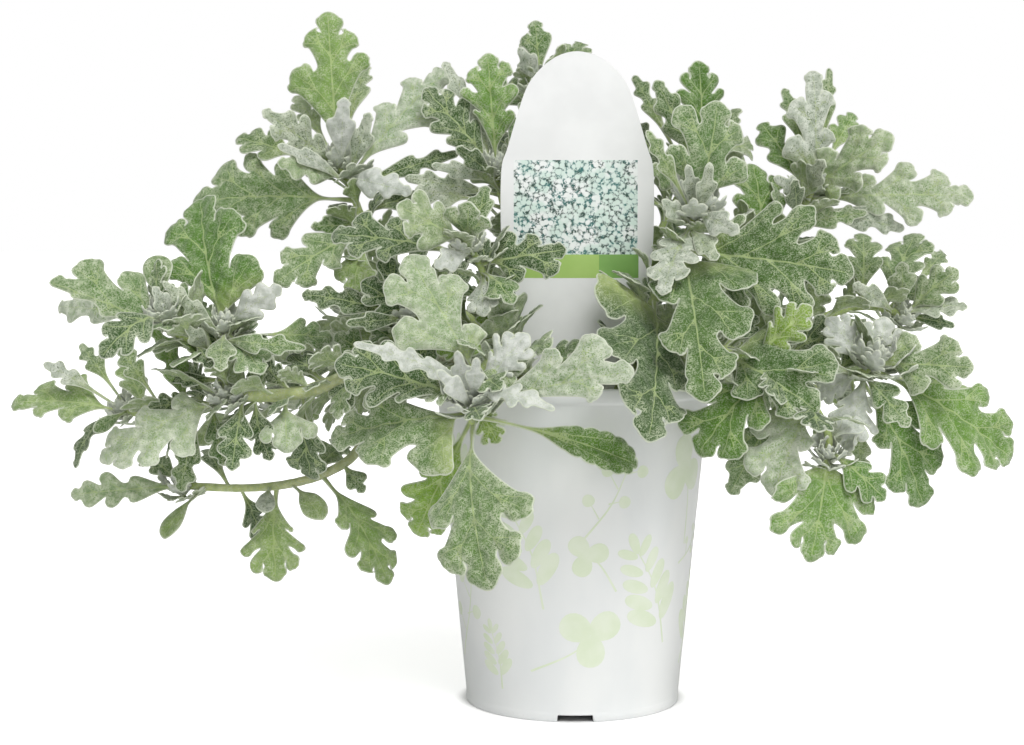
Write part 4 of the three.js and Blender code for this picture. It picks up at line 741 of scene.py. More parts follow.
def guard_half(z):
    """Half the width that leaves keep clear of in front of the label's face, at height z."""
    if z < GUARD_NECK["below"]:
        return GUARD_NECK["half"] + (z - GUARD_NECK["from"]) * GUARD_NECK["slope"]
    return (GUARD_ARCH["top"] - z) * GUARD_ARCH["slope"] if z > GUARD_ARCH["above"] else GUARD_HALF


# Every stem stands before any leaf is bent clear, and the solids' leaves before the finer ones.
crowd = Crowd()
shoots = [SimpleNamespace(name=s["name"], lines=lines_of(s), rows=s["leaves"]) for s in SHOOTS]
for name, bearing, distance, tip, count in BACK_SHOOTS:
    lines = [back_line(bearing, distance, tip)]
    shoots.append(SimpleNamespace(name=name, lines=lines, rows=[], ruled=(count, tip)))
for shoot in shoots:
    for at, radii in shoot.lines:
        for i in range(1, len(at)):
            points = at[i - 1] + (at[i] - at[i - 1]) * np.array([0, 0.25, 0.5, 0.75])[:, None]
            if points[0][2] >= SOIL_TOP:
                crowd.add(points, shoot.name, CLEARANCE + radii[i] - 0.6, stem=True)
label_points = []
for z in GUARD_HEIGHTS:
    x = -guard_half(z)
    while x <= guard_half(z):
        label_points.append(seen(x + LABEL_MIRROR, z, LABEL_DEPTH))
        x += GUARD_STEP
crowd.add(np.array(label_points), "label", CLEARANCE)

leaf_count = 0
for shoot in shoots:
    shoot.perches = perches_of(shoot.lines)
    if shoot.rows:
        shoot.leaves = []
        for row in shoot.rows:
            if row[4] >= SMALL_LEAF:
                shoot.leaves.append(seen_leaf(row, shoot.perches, leaf_count))
                leaf_count += 1
    else:
        shoot.leaves = back_leaves(shoot.lines[0], *shoot.ruled, leaf_count)
        leaf_count += len(shoot.leaves)
    for leaf in shoot.leaves:
        settle(leaf, crowd, shoot.name)


# Fine leaves: the solids' blades with rounded lobes, veins, relief and felted rims.
FINE_BLADE = 0.5
FINE_BROAD_LOBE = 3.6
FINE_STEP = 1.5
EDGE_STEP = 0.9
NARROW_LEAF = 12
NARROW_EDGE = 0.75
# A fine mesh's rows, the jitter of its grid, and the room it leaves at the rim and at the veins, as shares
# of its step.
GRID_ROW = 0.87
GRID_JITTER = 0.12
RIM_ROOM = 0.42
LINE_ROOM = 0.45
# The step's share for leaves wider than each width, and the half width from which relief is full.
FINENESS = [(16, 1), (8, 0.8), (0, 0.6)]
FULL_HALF = 9
MIDRIB_END = 0.97
MIDRIB_HALF = [0.6, 0.14]
LATERAL_HALF = [0.24, 0.1]
FORK_FADE = 1.4
VEIN_SHOWN = 1.35
WEB_EXCESS = 0.8
GROOVE = 0.65
SIDE_GROOVE = [0.7, 0.6]
PUFF = 0.7
PUFF_SPEED = [0.9, 0.7]
RIM_DROOP = [0.8, 1.7]
RIM_THINNING = [0.35, 0.5]
GROOVE_REACH = 1.4
RIB_HEIGHT = [0.9, 0.15]
RIB_HALF = [0.5, 0.4]
# A side vein's fork and end as shares of its lobe's reach, and where its branches end in a broad lobe.
FORK = [0.42, 0.4]
FORK_LEAN = 0.3
SIDE_VEIN_END = 0.9
BRANCH_ENDS = [0.84, 0.86]
BRANCH_OUT = 0.7
VEIN_FADE_FROM = 0.85
SMALL_END = 2.2
NEVER = 50.0
# A spoon wider than this is toothed: the teeth's spacing and depth, and where along it they start and fade
# in.
BROAD_SPOON = 14
TEETH = [6.5, 1.1]
TEETH_START = 0.5
TEETH_FADE = 0.12

# Tones as the green under the felt (sRGB) and how dense the felt is.
TONES = {
    "G": [(76, 110, 44), 0.36],
    "D": [(56, 86, 36), 0.28],
    "P": [(96, 128, 66), 0.5],
    "E": [(86, 126, 40), 0.26],
    "B": [(114, 154, 62), 0.36],
    "L": [(140, 166, 116), 0.7],
    "S": [(100, 118, 88), 0.78],
    "W": [(176, 184, 172), 0.98],
    "U": [(138, 166, 92), 0.4],
    "Y": [(128, 160, 54), 0.16],
}
# How far single leaves may stray from their tone, and how far their stalks turn to the stem's green.
TONE_SPREAD = {"light": 0.22, "red": 0.12, "blue": 0.16, "felt": 0.16}
STALK_GREEN = 0.85
WHITE_STALK_GREEN = 0.4
UNDER_GREEN = (142, 164, 104)
STEM_GREEN = (190, 206, 132)
WOODY = (188, 176, 160)
STEM_FELT = 0.3
ROD_STEP = 2.2
ROD_END = [(0.5, 0.86), (0.86, 0.5), (1.0, 0.12)]
ROD_WOBBLE = 0.05


def linear(color):
    """sRGB from 0 to 255 as linear colour."""
    c = np.asarray(color, float) / 255
    return np.where(c <= 0.04045, c / 12.92, ((c + 0.055) / 1.055) ** 2.4)


def lobes_of(leaf, sign):
    if leaf.lobes:
        way = np.array(leaf.seen_tip, float) - leaf.seen_base
        length = np.linalg.norm(way)
        way /= length
        found = []
        for place in leaf.lobes:
            x, z = np.array(place, float) - leaf.seen_base
            v = (x * way[1] - z * way[0]) / (leaf.seen_width / 2)
            if v * sign > 0:
                found.append((min((x * way[0] + z * way[1]) / length, LAST_LOBE), abs(v)))
        return sorted(found)
    return [
        (
            u + draw_around(LOBE_SLIDE, leaf.number, 20 + i * 2 + sign),
            v * draw_around(LOBE_REACH, leaf.number, 40 + i * 2 + sign),
        )
        for i, (u, v) in enumerate(FORMS[leaf.form]["lobes"])
    ]


# A lobe's outline from its lower to its upper side: shares of its reach, and of its half breadth.
ROUND_LOBE = [(-1.9, -0.94), (-0.95, -1.0), (-0.3, -0.7), (0, 0), (-0.3, 0.68), (-0.95, 0.97), (-1.9, 0.9)]
TEETH_LOBE = [(0.66, -0.82), (0.76, -0.98), (0.855, -0.97), (0.91, -0.8), (0.925, -0.6), (0.97, -0.36),
              (1.0, -0.08), (1.0, 0.14), (0.97, 0.42), (0.925, 0.62), (0.905, 0.8), (0.86, 0.94),
              (0.76, 0.96), (0.66, 0.82)]
END_LOBE = [(1.3, 0.84), (0.88, 1.02), (0.56, 0.95), (0.42, 0.74), (0.2, 0.5), (0.03, 0.2)]


def side_outline(lobes, start, end, length, half, number):
    """One side's outline points from base to tip as [y, x], and the lines of its side veins."""
    base = [(0, PETIOLE_HALF * 1.6), (0.06 * length, PETIOLE_HALF * (1.3 if half > 7 else 1))]
    if not lobes:
        points = [*base, (start * length, PETIOLE_HALF * 1.4)]
        points += [(u * length, v * half) for u, v in SPOON_SIDE]
        vein = [(start * length * 1.1, 0), (0.6 * length, 0.3 * half), (0.8 * length, 0.62 * half)]
        return points, ([vein] if half > 4 else [])
    tips = []
    for u, v in lobes:
        y, x = u * length, v * half
        foot = max(y - LOBE_LEAN * x, LOWEST_FOOT * length)
        reach = math.hypot(x, y - foot)
        tips.append(SimpleNamespace(y=y, x=x, foot=foot, reach=reach, way=((y - foot) / reach, x / reach)))
    end_half = min(end * half, END_SHARE * tips[-1].x)
    end_side = SimpleNamespace(y=length - END_BACK * end_half, x=end_half)

    def room(tip, following, axis):
        return LOBE_FILL * ((following.y - tip.y) * axis.way[1] - (following.x - tip.x) * axis.way[0])

    blade_start = min(max(tips[0].foot - 0.04 * length, 0.06 * length), start * length)
    points = [*base, (max(blade_start, 0.1 * length), PETIOLE_HALF * 1.7)]
    veins = []
    for i, tip in enumerate(tips):
        following = tips[i + 1] if i + 1 < len(tips) else None
        ahead = room(tip, following, tip) if following else 2 * room(tip, end_side, tip)
        behind = room(tips[i - 1], tip, tip) if i else ahead
        below = min(max(behind, LEAST_LOBE), LOBE_ROUND * tip.x)
        above = min(max(ahead, LEAST_LOBE), LOBE_ROUND * tip.x)
        breadth = (below + above) / 2
        wy, wx = tip.way
        if breadth > FINE_BROAD_LOBE:
            shape = TEETH_LOBE
        else:
            shape = [(1 + s * breadth / tip.reach, w) for s, w in ROUND_LOBE]
            shape = [(s, w) for s, w in shape if s > SINUS_DEPTH + 0.06]
        for k, (s, w) in enumerate(shape):
            along = s * tip.reach * (1 + draw_around([0, 0.015], number, 100 + 12 * i + k))
            out = w * (above if w > 0 else below)
            points.append((tip.foot + wy * along + wx * out, max(wx * along - wy * out, PETIOLE_HALF)))
        inward = SINUS_DEPTH * min(tip.reach, following.reach if following else 2 * end_half)
        highest = length if following else length - end_half * 1.5
        beyond = (length + tip.x * 0.2, tip.way)
        next_foot, next_way = (following.foot, following.way) if following else beyond
        sinus_y = (tip.foot + next_foot + (wy + next_way[0]) * inward) / 2
        sinus_x = (wx + next_way[1]) * inward / 2
        points.append((min(sinus_y, highest), max(sinus_x, PETIOLE_HALF * 1.2)))
        low = max(tip.foot - 0.2 * tip.x, 0.5 * blade_start)
        middle = (above - below) / 2
        fork_y = tip.foot + wy * FORK[0] * tip.reach + wx * FORK_LEAN * middle
        fork = (fork_y, wx * FORK[1] * tip.reach - wy * FORK_LEAN * middle)
        end = (tip.foot + wy * SIDE_VEIN_END * tip.reach, wx * SIDE_VEIN_END * tip.reach)
        veins.append([(low, 0), fork, end])
        if breadth > FINE_BROAD_LOBE:
            for s, w in zip(BRANCH_ENDS, (-BRANCH_OUT * below, BRANCH_OUT * above)):
                veins.append([fork, (tip.foot + wy * s * tip.reach + wx * w, wx * s * tip.reach - wy * w)])
    if end_half > SMALL_END:
        points += [(length - end_half * back, end_half * out) for back, out in END_LOBE]
    else:
        points.append((length - end_half * 0.7, end_half * 0.8))
    return points, veins


def sampled(points, step):
    """A smooth line through 2-D points with about one place for each step."""
    points = [np.array(point, float) for point in points]
    lengths = [np.linalg.norm(b - a) for a, b in zip(points, points[1:])]
    kept = [points[0]] + [b for b, gap in zip(points[1:], lengths) if gap > 0.05]
    counts = [max(1, round(float(np.linalg.norm(b - a)) / step)) for a, b in zip(kept, kept[1:])]
    return curve_through(kept, counts)


def toothed(loop, length):
    """The outline of a broad spoon with shallow rounded teeth on its outer part."""
    steps = np.linalg.norm(np.diff(loop, axis=0), axis=1)
    gone = np.concatenate([[0], np.cumsum(steps)])
    from_tip = np.abs(gone - gone[np.argmax(loop[:, 1])])
    spacing, depth = TEETH
    notch = depth * (1 - np.abs(np.cos(np.pi * from_tip / spacing)) ** 0.6)
    notch *= np.clip((loop[:, 1] / length - TEETH_START) / TEETH_FADE, 0, 1)
    along = np.gradient(loop, axis=0)
    across = np.stack([along[:, 1], -along[:, 0]], axis=1) / np.linalg.norm(along, axis=1)[:, None]
    inward = across * -np.sign((across * (loop - loop.mean(axis=0))).sum(axis=1))[:, None]
    return loop + inward * notch[:, None]


def outline_of(leaf, length):
    """The closed outline and the veins, as [x, y] with y along the midrib."""
    form = FORMS[leaf.form]
    half = leaf.width / 2
    sides, veins = [], []
    for sign in (1, -1):
        points, lines = side_outline(
            lobes_of(leaf, sign), form["start"], form["end"], length, half, leaf.number * 2 + sign
        )
        sides.append([(x * sign, y) for y, x in points])
        veins += [[(x * sign, y) for y, x in line] for line in lines]
    step = EDGE_STEP if leaf.width > NARROW_LEAF else EDGE_STEP * NARROW_EDGE
    loop = sampled([*sides[0], (0, length), *reversed(sides[1])], step)
    if not form["lobes"] and leaf.width > BROAD_SPOON:
        loop = toothed(loop, length)
    return loop, veins


def distances(points, line):
    """Each point's distance to a polyline, and the share along the line of the nearest place."""
    a, b = line[:-1], line[1:]
    way = b - a
    size = np.maximum((way * way).sum(1), 1e-12)
    t = np.clip(((points[:, None] - a) * way).sum(2) / size, 0, 1)
    gaps = np.linalg.norm(points[:, None] - (a + way * t[..., None]), axis=2)
    nearest = gaps.argmin(1)
    rows = np.arange(len(points))
    return gaps[rows, nearest], (nearest + t[rows, nearest]) / len(a)


def inside(points, loop):
    """Which points lie inside the closed loop."""
    a, b = loop, np.roll(loop, -1, axis=0)
    x, y = points[:, 0:1], points[:, 1:2]
    crosses = (a[:, 1] > y) != (b[:, 1] > y)
    with np.errstate(divide="ignore", invalid="ignore"):
        at = a[:, 0] + (y - a[:, 1]) * (b[:, 0] - a[:, 0]) / (b[:, 1] - a[:, 1])
    return (crosses & (x < at)).sum(1) % 2 == 1


def flat_mesh(loop, lines, step, rng):
    """Triangles that fill a closed loop, with vertices on the given lines: places, triangles, rim."""
    low, high = loop.min(0), loop.max(0)
    rows = int((high[1] - low[1]) / (step * GRID_ROW)) + 1
    columns = int((high[0] - low[0]) / step) + 2
    row, column = np.mgrid[0:rows, 0:columns]
    across = low[0] + (column + 0.5 * (row % 2)) * step
    grid = np.stack([across, low[1] + (row + 0.5) * step * GRID_ROW], -1)
    grid = grid.reshape(-1, 2) + rng.uniform(-GRID_JITTER, GRID_JITTER, (rows * columns, 2)) * step
    grid = grid[inside(grid, loop)]
    closed = np.vstack([loop, loop[:1]])
    if len(grid):
        keep = distances(grid, closed)[0] > step * RIM_ROOM
        for line in lines:
            keep &= distances(grid, line)[0] > step * LINE_ROOM
        grid = grid[keep]
    places = [*loop]
    edges = []
    for line in lines:
        first = len(places)
        places += [*line]
        edges += [(first + i, first + i + 1) for i in range(len(line) - 1)]
    places += [*grid]
    made = delaunay_2d_cdt(
        [Vector(place) for place in places], edges, [list(range(len(loop)))], 1, 1e-4, False
    )
    flat = np.array([tuple(v) for v in made[0]])
    triangles = np.array([tri for tri in made[2] if len(tri) == 3])
    triangles = triangles[inside(flat[triangles].mean(1), loop)]
    a, b, c = flat[triangles[:, 0]], flat[triangles[:, 1]], flat[triangles[:, 2]]
    area = (b[:, 0] - a[:, 0]) * (c[:, 1] - a[:, 1]) - (b[:, 1] - a[:, 1]) * (c[:, 0] - a[:, 0])
    triangles = triangles[np.abs(area) > 1e-7]
    area = area[np.abs(area) > 1e-7]
    triangles[area < 0] = triangles[area < 0][:, ::-1]
    used, triangles = np.unique(triangles, return_inverse=True)
    flat, triangles = flat[used], triangles.reshape(-1, 3)
    sides = np.vstack([triangles[:, [0, 1]], triangles[:, [1, 2]], triangles[:, [2, 0]]])
    keys = sides[:, 0] * len(flat) + sides[:, 1]
    twins = sides[:, 1] * len(flat) + sides[:, 0]
    return flat, triangles, sides[~np.isin(keys, twins)]


def doubled(count, triangles, rim):
    """The triangles of a sheet with two faces: vertices 0 to count on top, the same again below."""
    a, b = rim[:, 0], rim[:, 1]
    walls = np.vstack([np.stack([a, a + count, b], 1), np.stack([b, a + count, b + count], 1)])
    return np.vstack([triangles, triangles[:, ::-1] + count, walls])


def vein_field(flat, length, size, laterals):
    """Each place's distance from its nearest vein, in vein half widths, and the groove's depth there."""
    x, share = flat[:, 0], flat[:, 1] / length
    mid_half = (MIDRIB_HALF[0] + (MIDRIB_HALF[1] - MIDRIB_HALF[0]) * share) * size
    vein = np.where(share < MIDRIB_END, np.abs(x) / mid_half, NEVER)
    groove = np.exp(-((x / GROOVE_REACH) ** 2)) * np.clip(1 - share, 0, 1) ** 0.5
    depth, fall = SIDE_GROOVE
    for line in laterals:
        gap, along = distances(flat, line)
        line_half = (LATERAL_HALF[0] + (LATERAL_HALF[1] - LATERAL_HALF[0]) * along) * size
        run = along * np.linalg.norm(np.diff(line, axis=0), axis=1).sum()
        fade = 3 * np.maximum(along - VEIN_FADE_FROM, 0) + np.clip(1 - run / FORK_FADE, 0, 1)
        vein = np.minimum(vein, gap / line_half + fade)
        groove = np.maximum(groove, depth * np.exp(-((gap / GROOVE_REACH) ** 2)) * (1 - fall * along))
    return vein, groove


def split_webs(flat, triangles, *field):
    """Splits each triangle that hangs between veins and would fill with their colour."""
    vein = vein_field(flat, *field)[0][triangles].mean(1)
    middles = flat[triangles].mean(1)
    webs = (vein < VEIN_SHOWN) & (vein_field(middles, *field)[0] > vein + WEB_EXCESS)
    a, b, c = triangles[webs].T
    centre = len(flat) + np.arange(len(a))
    parts = [np.stack([p, q, centre], 1) for p, q in ((a, b), (b, c), (c, a))]
    return np.vstack([flat, middles[webs]]), np.vstack([triangles[~webs], *parts])


class Piece:
    """A mesh in the making, with the foliage's own attributes: green and felt, then vein, rim and side."""

    def __init__(self, name):
        self.name = name
        self.vertices, self.triangles, self.greens, self.maps = [], [], [], []
        self.count = 0

    def add(self, vertices, triangles, greens, maps):
        self.triangles.append(np.asarray(triangles) + self.count)
        self.vertices.append(vertices)
        self.greens.append(np.broadcast_to(greens, (len(vertices), 4)))
        self.maps.append(np.broadcast_to(maps, (len(vertices), 3)))
        self.count += len(vertices)

    def build(self, *materials, smooth=True):
        mesh = bpy.data.meshes.new(self.name)
        vertices = np.concatenate(self.vertices) * MM
        triangles = np.concatenate(self.triangles)
        mesh.vertices.add(len(vertices))
        mesh.vertices.foreach_set("co", vertices.astype(np.float32).ravel())
        mesh.loops.add(triangles.size)
        mesh.loops.foreach_set("vertex_index", triangles.astype(np.int32).ravel())
        mesh.polygons.add(len(triangles))
        mesh.polygons.foreach_set("loop_start", np.arange(0, triangles.size, 3, dtype=np.int32))
        mesh.polygons.foreach_set("loop_total", np.full(len(triangles), 3, np.int32))
        mesh.polygons.foreach_set("use_smooth", np.full(len(triangles), smooth, bool))
        green = mesh.attributes.new("green", "FLOAT_COLOR", "POINT")
        green.data.foreach_set("color", np.concatenate(self.greens).astype(np.float32).ravel())
        places = mesh.attributes.new("leaf_map", "FLOAT_VECTOR", "POINT")
        places.data.foreach_set("vector", np.concatenate(self.maps).astype(np.float32).ravel())
        mesh.update(calc_edges=True)
        mesh.validate()
        for material in materials:
            mesh.materials.append(material)
        made = bpy.data.objects.new(self.name, mesh)
        bpy.context.scene.collection.objects.link(made)
        return made


def tone_of(leaf):
    """The leaf's own green (linear) and felt density."""
    green, felt = TONES[leaf.tone]
    light, red, blue, dense = (
        TONE_SPREAD[kind] * (draw(leaf.number, 61 + i) - 0.5) for i, kind in enumerate(TONE_SPREAD)
    )
    return linear(green) * (1 + light) * np.array([1 + red, 1, 1 - blue]), felt + dense


def add_leaf(piece, leaf):
    around = leaf_frame(leaf)
    length, half = around.length, leaf.width / 2
    rng = np.random.default_rng(leaf.number + 7)
    loop, veins = outline_of(leaf, length)
    step = FINE_STEP * next(share for least, share in FINENESS if leaf.width > least)
    ribs = max(4, int(length / step))
    midrib = np.stack([np.zeros(ribs), np.linspace(0.2, length * MIDRIB_END, ribs)], 1)
    laterals = [sampled(vein, step) for vein in veins]
    flat, triangles, rim = flat_mesh(loop, [midrib, *laterals], step, rng)
    size = min(1.0, half / FULL_HALF)
    flat, triangles = split_webs(flat, triangles, length, size, laterals)
    vein, groove = vein_field(flat, length, size, laterals)
    x, y = flat[:, 0], flat[:, 1]
    share = y / length
    edge_gap = distances(flat, np.vstack([loop, loop[:1]]))[0]
    puff = np.sin(PUFF_SPEED[0] * x + leaf.phase) * np.sin(PUFF_SPEED[1] * y + 2 * leaf.phase)
    puff = PUFF * size * puff * np.minimum(edge_gap / 2, 1)
    relief = puff - GROOVE * size * groove - RIM_DROOP[0] * size * np.exp(-((edge_gap / RIM_DROOP[1]) ** 2))
    thick = FINE_BLADE * (1 - RIM_THINNING[0] * np.exp(-edge_gap / RIM_THINNING[1])) * (0.8 + 0.2 * size)
    rib = (RIB_HEIGHT[0] + (RIB_HEIGHT[1] - RIB_HEIGHT[0]) * np.minimum(share * 1.3, 1)) * max(size, 0.5)
    rib = rib * np.exp(-((np.abs(x) / (RIB_HALF[0] + RIB_HALF[1] * size)) ** 2))
    top = surface_points(leaf, around, y, x, relief + thick / 2)
    under = surface_points(leaf, around, y, x, relief - thick / 2 - rib)
    green, felt = tone_of(leaf)
    start = FORMS[leaf.form]["start"]
    stalk = np.clip(1.5 - share / start, 0, 1) * (WHITE_STALK_GREEN if leaf.tone == "W" else STALK_GREEN)
    greens = np.empty((len(flat), 4))
    greens[:, :3] = green * (1 - stalk[:, None]) + linear(STEM_GREEN) * stalk[:, None]
    greens[:, 3] = felt * (1 - 0.5 * stalk)
    shown = np.stack([vein, edge_gap, np.zeros(len(flat))], 1)
    hidden = shown.copy()
    hidden[:, 2] = 1
    piece.add(np.vstack([top, under]), doubled(len(flat), triangles, rim), np.vstack([greens, greens]),
              np.vstack([shown, hidden]))


def add_rod(piece, at, radii, greens, felt, sides=10, seed=0):
    """A smooth round rod along a line, from the first green to the second, rounded off at its far end."""
    counts = [max(1, round(float(np.linalg.norm(b - a)) / ROD_STEP)) for a, b in zip(at, at[1:])]
    line = curve_through(at, counts)
    stations = np.concatenate([i + np.arange(n) / n for i, n in enumerate(counts)] + [[len(counts)]])
    sizes = np.interp(stations, np.arange(len(radii)), radii)
    way = units(np.gradient(line, axis=0))
    end_radius = sizes[-1]
    for back, share in ROD_END:
        line = np.vstack([line, line[len(stations) - 1] + way[-1] * end_radius * back])
        sizes = np.append(sizes, end_radius * share)
        way = np.vstack([way, way[-1]])
    rng = np.random.default_rng(seed)
    sizes = sizes * (1 + rng.uniform(-ROD_WOBBLE, ROD_WOBBLE, len(sizes)))
    across = np.array([1, 0.2, 0.1])
    rings = []
    angles = np.arange(sides) * 2 * math.pi / sides
    for place, size, ahead in zip(line, sizes, way):
        across = unit(across - ahead * (ahead @ across))
        third = np.cross(ahead, across)
        ribbed = size * (1 + ROD_WOBBLE * np.cos(5 * angles))[:, None]
        rings.append(place + ribbed * (np.cos(angles)[:, None] * across + np.sin(angles)[:, None] * third))
    vertices = np.concatenate(rings)
    ring = np.arange(sides)
    after = (ring + 1) % sides
    triangles = []
    for i in range(len(line) - 1):
        a, b = i * sides + ring, i * sides + after
        triangles += [np.stack([a, b, b + sides], 1), np.stack([a, b + sides, a + sides], 1)]
    last = (len(line) - 1) * sides
    caps = [(0, k + 1, k) for k in range(1, sides - 1)]
    caps += [(last, last + k, last + k + 1) for k in range(1, sides - 1)]
    blend = np.repeat(np.linspace(0, 1, len(line)), sides)[:, None] ** 1.5
    colors = np.hstack([greens[0] * (1 - blend) + greens[1] * blend, np.full((len(vertices), 1), felt)])
    piece.add(vertices, np.vstack([*triangles, caps]), colors, np.array([NEVER, 1.2, 0]))


# Leaves that the solids leave out: the small ones seen in place, rosettes at the tips and inner leaves.
FILL_SPACING = 4.2
FILL_SIZE = [27, 7]
FILL_WIDTH = 0.64
FILL_TAPER = [1.15, 0.45]
FILL_APART = [0.8, 0.4]
FILL_END = 3
FILL_HEADING = [0.8, 0.6, 0.15]
FILL_LOOK = [0.5, 0.6, -0.2, 0.1]
FILL_SHIFT = [0.8, 0.4]
FILL_FORMS = ("oak2", "oak", "trio")
FILL_TONES = "DGPDGYGP"
ROSETTE_LEAVES = 18
ROSETTE_SIZE = [13, 3]
ROSETTE_WIDTH = 0.66
ROSETTE_GROWTH = [0.5, 0.75]
ROSETTE_STEP = 0.3
ROSETTE_BEND = -0.16
ROSETTE_WAY = [0.35, 0.6, 0.95]
ROSETTE_LOOK = [0.9, 0.35, -0.4]
ROSETTE_SHIFT = 0.6
ROSETTE_FORMS = ("trio", "oak2", "feather")
FORM_RUN = 4
WHITE_SHARE = 0.75
# How far young leaves open from the stem, in degrees: the first, the rest's range and their spread.
OPENING = [8, 58, 13]
DROOP_SHARE = 0.25
FULLNESS = 0.9
FULL_ROSETTES = {
    "shoot_front": 1.4, "shoot_right_lower": 1.35, "shoot_top_left": 1.25, "shoot_right_centre": 1.35
}
ROSETTE_BACK = {"shoot_front": 1}
DENSE_FILL = {"shoot_left": 0.72, "shoot_lower_left": 0.72, "shoot_mid_left": 0.8, "shoot_right_upper": 0.8}
# How close each kind may stand to its sisters, and the numbers kept for it: the first, and how many a stem.
SMALL_FITS = {"sister_need": 0.9}
ROSETTE_FITS = {"sister_need": 0.2, "tries": 3}
FILL_FITS = {"sister_need": 0.8, "tries": 9, "must_fit": True}
SMALL_FIRST = 1000
ROSETTE_NUMBERS = [2000, 20]
FILL_NUMBERS = [4000, 60]

small_count = SMALL_FIRST
for shoot in shoots:
    for row in shoot.rows:
        if row[4] < SMALL_LEAF:
            leaf = seen_leaf(row, shoot.perches, small_count)
            small_count += 1
            settle(leaf, crowd, shoot.name, **SMALL_FITS)
            shoot.leaves.append(leaf)


def rosette(line, first_number, fullness, back):
    """Young leaves round a stem, back places before its end, opening from its line."""
    at = line[0][: len(line[0]) - back]
    way = unit(at[-1] - at[-2])
    way = unit(mixed(ROSETTE_WAY, way, unit(EYE - at[-1]), UP))
    across = unit(np.cross(way, UP) + 0.01)
    third = np.cross(way, across)
    first_opening, opening_range, spread = OPENING
    leaves = []
    for i in range(ROSETTE_LEAVES):
        number = first_number + i
        spray = spray_way(GOLDEN_ANGLE * i, across, third)
        opening = first_opening + opening_range * i / ROSETTE_LEAVES + draw_around([0, spread], number, 9)
        heading = spray_way(opening, way, spray)
        heading[2] *= 1 if heading[2] > 0 else DROOP_SHARE
        growth = ROSETTE_GROWTH[0] + ROSETTE_GROWTH[1] * i / ROSETTE_LEAVES
        size = fullness * draw_around(ROSETTE_SIZE, number, 7) * growth
        base = at[-1] - way * (ROSETTE_STEP * i)
        look = mixed(ROSETTE_LOOK, way, UP, spray)
        form = ROSETTE_FORMS[min(i // FORM_RUN, len(ROSETTE_FORMS) - 1)]
        tone = "W" if i < ROSETTE_LEAVES * WHITE_SHARE else "S"
        width, shift_way = size * ROSETTE_WIDTH, way * ROSETTE_SHIFT
        leaf = ruled_leaf(number, base, heading, look, size, width, form, tone, shift_way, bend=ROSETTE_BEND)
        leaves.append(leaf)
    return leaves


def fill_leaves(line, first_number, spacing):
    """Inner leaves along a stem, placed by the golden angle, smaller towards its end."""
    at, _ = line
    lengths = np.linalg.norm(np.diff(at, axis=0), axis=1)
    stations = np.concatenate([[0], np.cumsum(lengths)])
    leaves = []
    place = spacing
    while place < stations[-1] - FILL_END:
        base = np.array([np.interp(place, stations, at[:, k]) for k in range(3)])
        ahead = np.array([np.interp(place + 1, stations, at[:, k]) for k in range(3)])
        number = first_number + len(leaves)
        place += spacing * (FILL_APART[0] + FILL_APART[1] * draw(number, 10))
        if base[2] < SOIL_TOP + ROOT_RISE:
            continue
        way = unit(ahead - base)
        across = unit(np.cross(way, UP) + 0.01)
        third = np.cross(way, across)
        spray = spray_way(GOLDEN_ANGLE * len(leaves) + 360 * draw(first_number, 11), across, third)
        size = draw_around(FILL_SIZE, number, 7) * (FILL_TAPER[0] - FILL_TAPER[1] * place / stations[-1])
        heading = mixed(FILL_HEADING, spray, way, UP)
        outward = unit(np.array([base[0], base[1], 0.0]) + 1e-6)
        look = mixed(FILL_LOOK, outward, UP, spray, way)
        form = FILL_FORMS[int(draw(number, 12) * len(FILL_FORMS))]
        tone = FILL_TONES[int(draw(number, 13) * len(FILL_TONES))]
        width, shift_way = size * FILL_WIDTH, mixed(FILL_SHIFT, UP, outward)
        leaves.append(ruled_leaf(number, base, heading, look, size, width, form, tone, shift_way))
    return leaves


first, room = ROSETTE_NUMBERS
for shoot in shoots:
    for line in shoot.lines:
        fullness = FULL_ROSETTES.get(shoot.name, FULLNESS)
        for leaf in rosette(line, first, fullness, ROSETTE_BACK.get(shoot.name, 0)):
            settle(leaf, crowd, shoot.name, **ROSETTE_FITS)
            shoot.leaves.append(leaf)
        first += room
first, room = FILL_NUMBERS
for shoot in shoots:
    for line in shoot.lines:
        for leaf in fill_leaves(line, first, FILL_SPACING * DENSE_FILL.get(shoot.name, 1)):
            if settle(leaf, crowd, shoot.name, **FILL_FITS):
                shoot.leaves.append(leaf)
        first += room


# Materials
def add_node(tree, kind, **inputs):
    node = tree.nodes.new(kind)
    for key, value in inputs.items():
        if hasattr(node, key) and key not in node.inputs:
            setattr(node, key, value)
        else:
            socket = node.inputs[int(key[1:])] if key[0] == "i" and key[1:].isdigit() else node.inputs[key]
            if isinstance(value, bpy.types.NodeSocket):
                tree.links.new(value, socket)
            else:
                socket.default_value = value
    return node


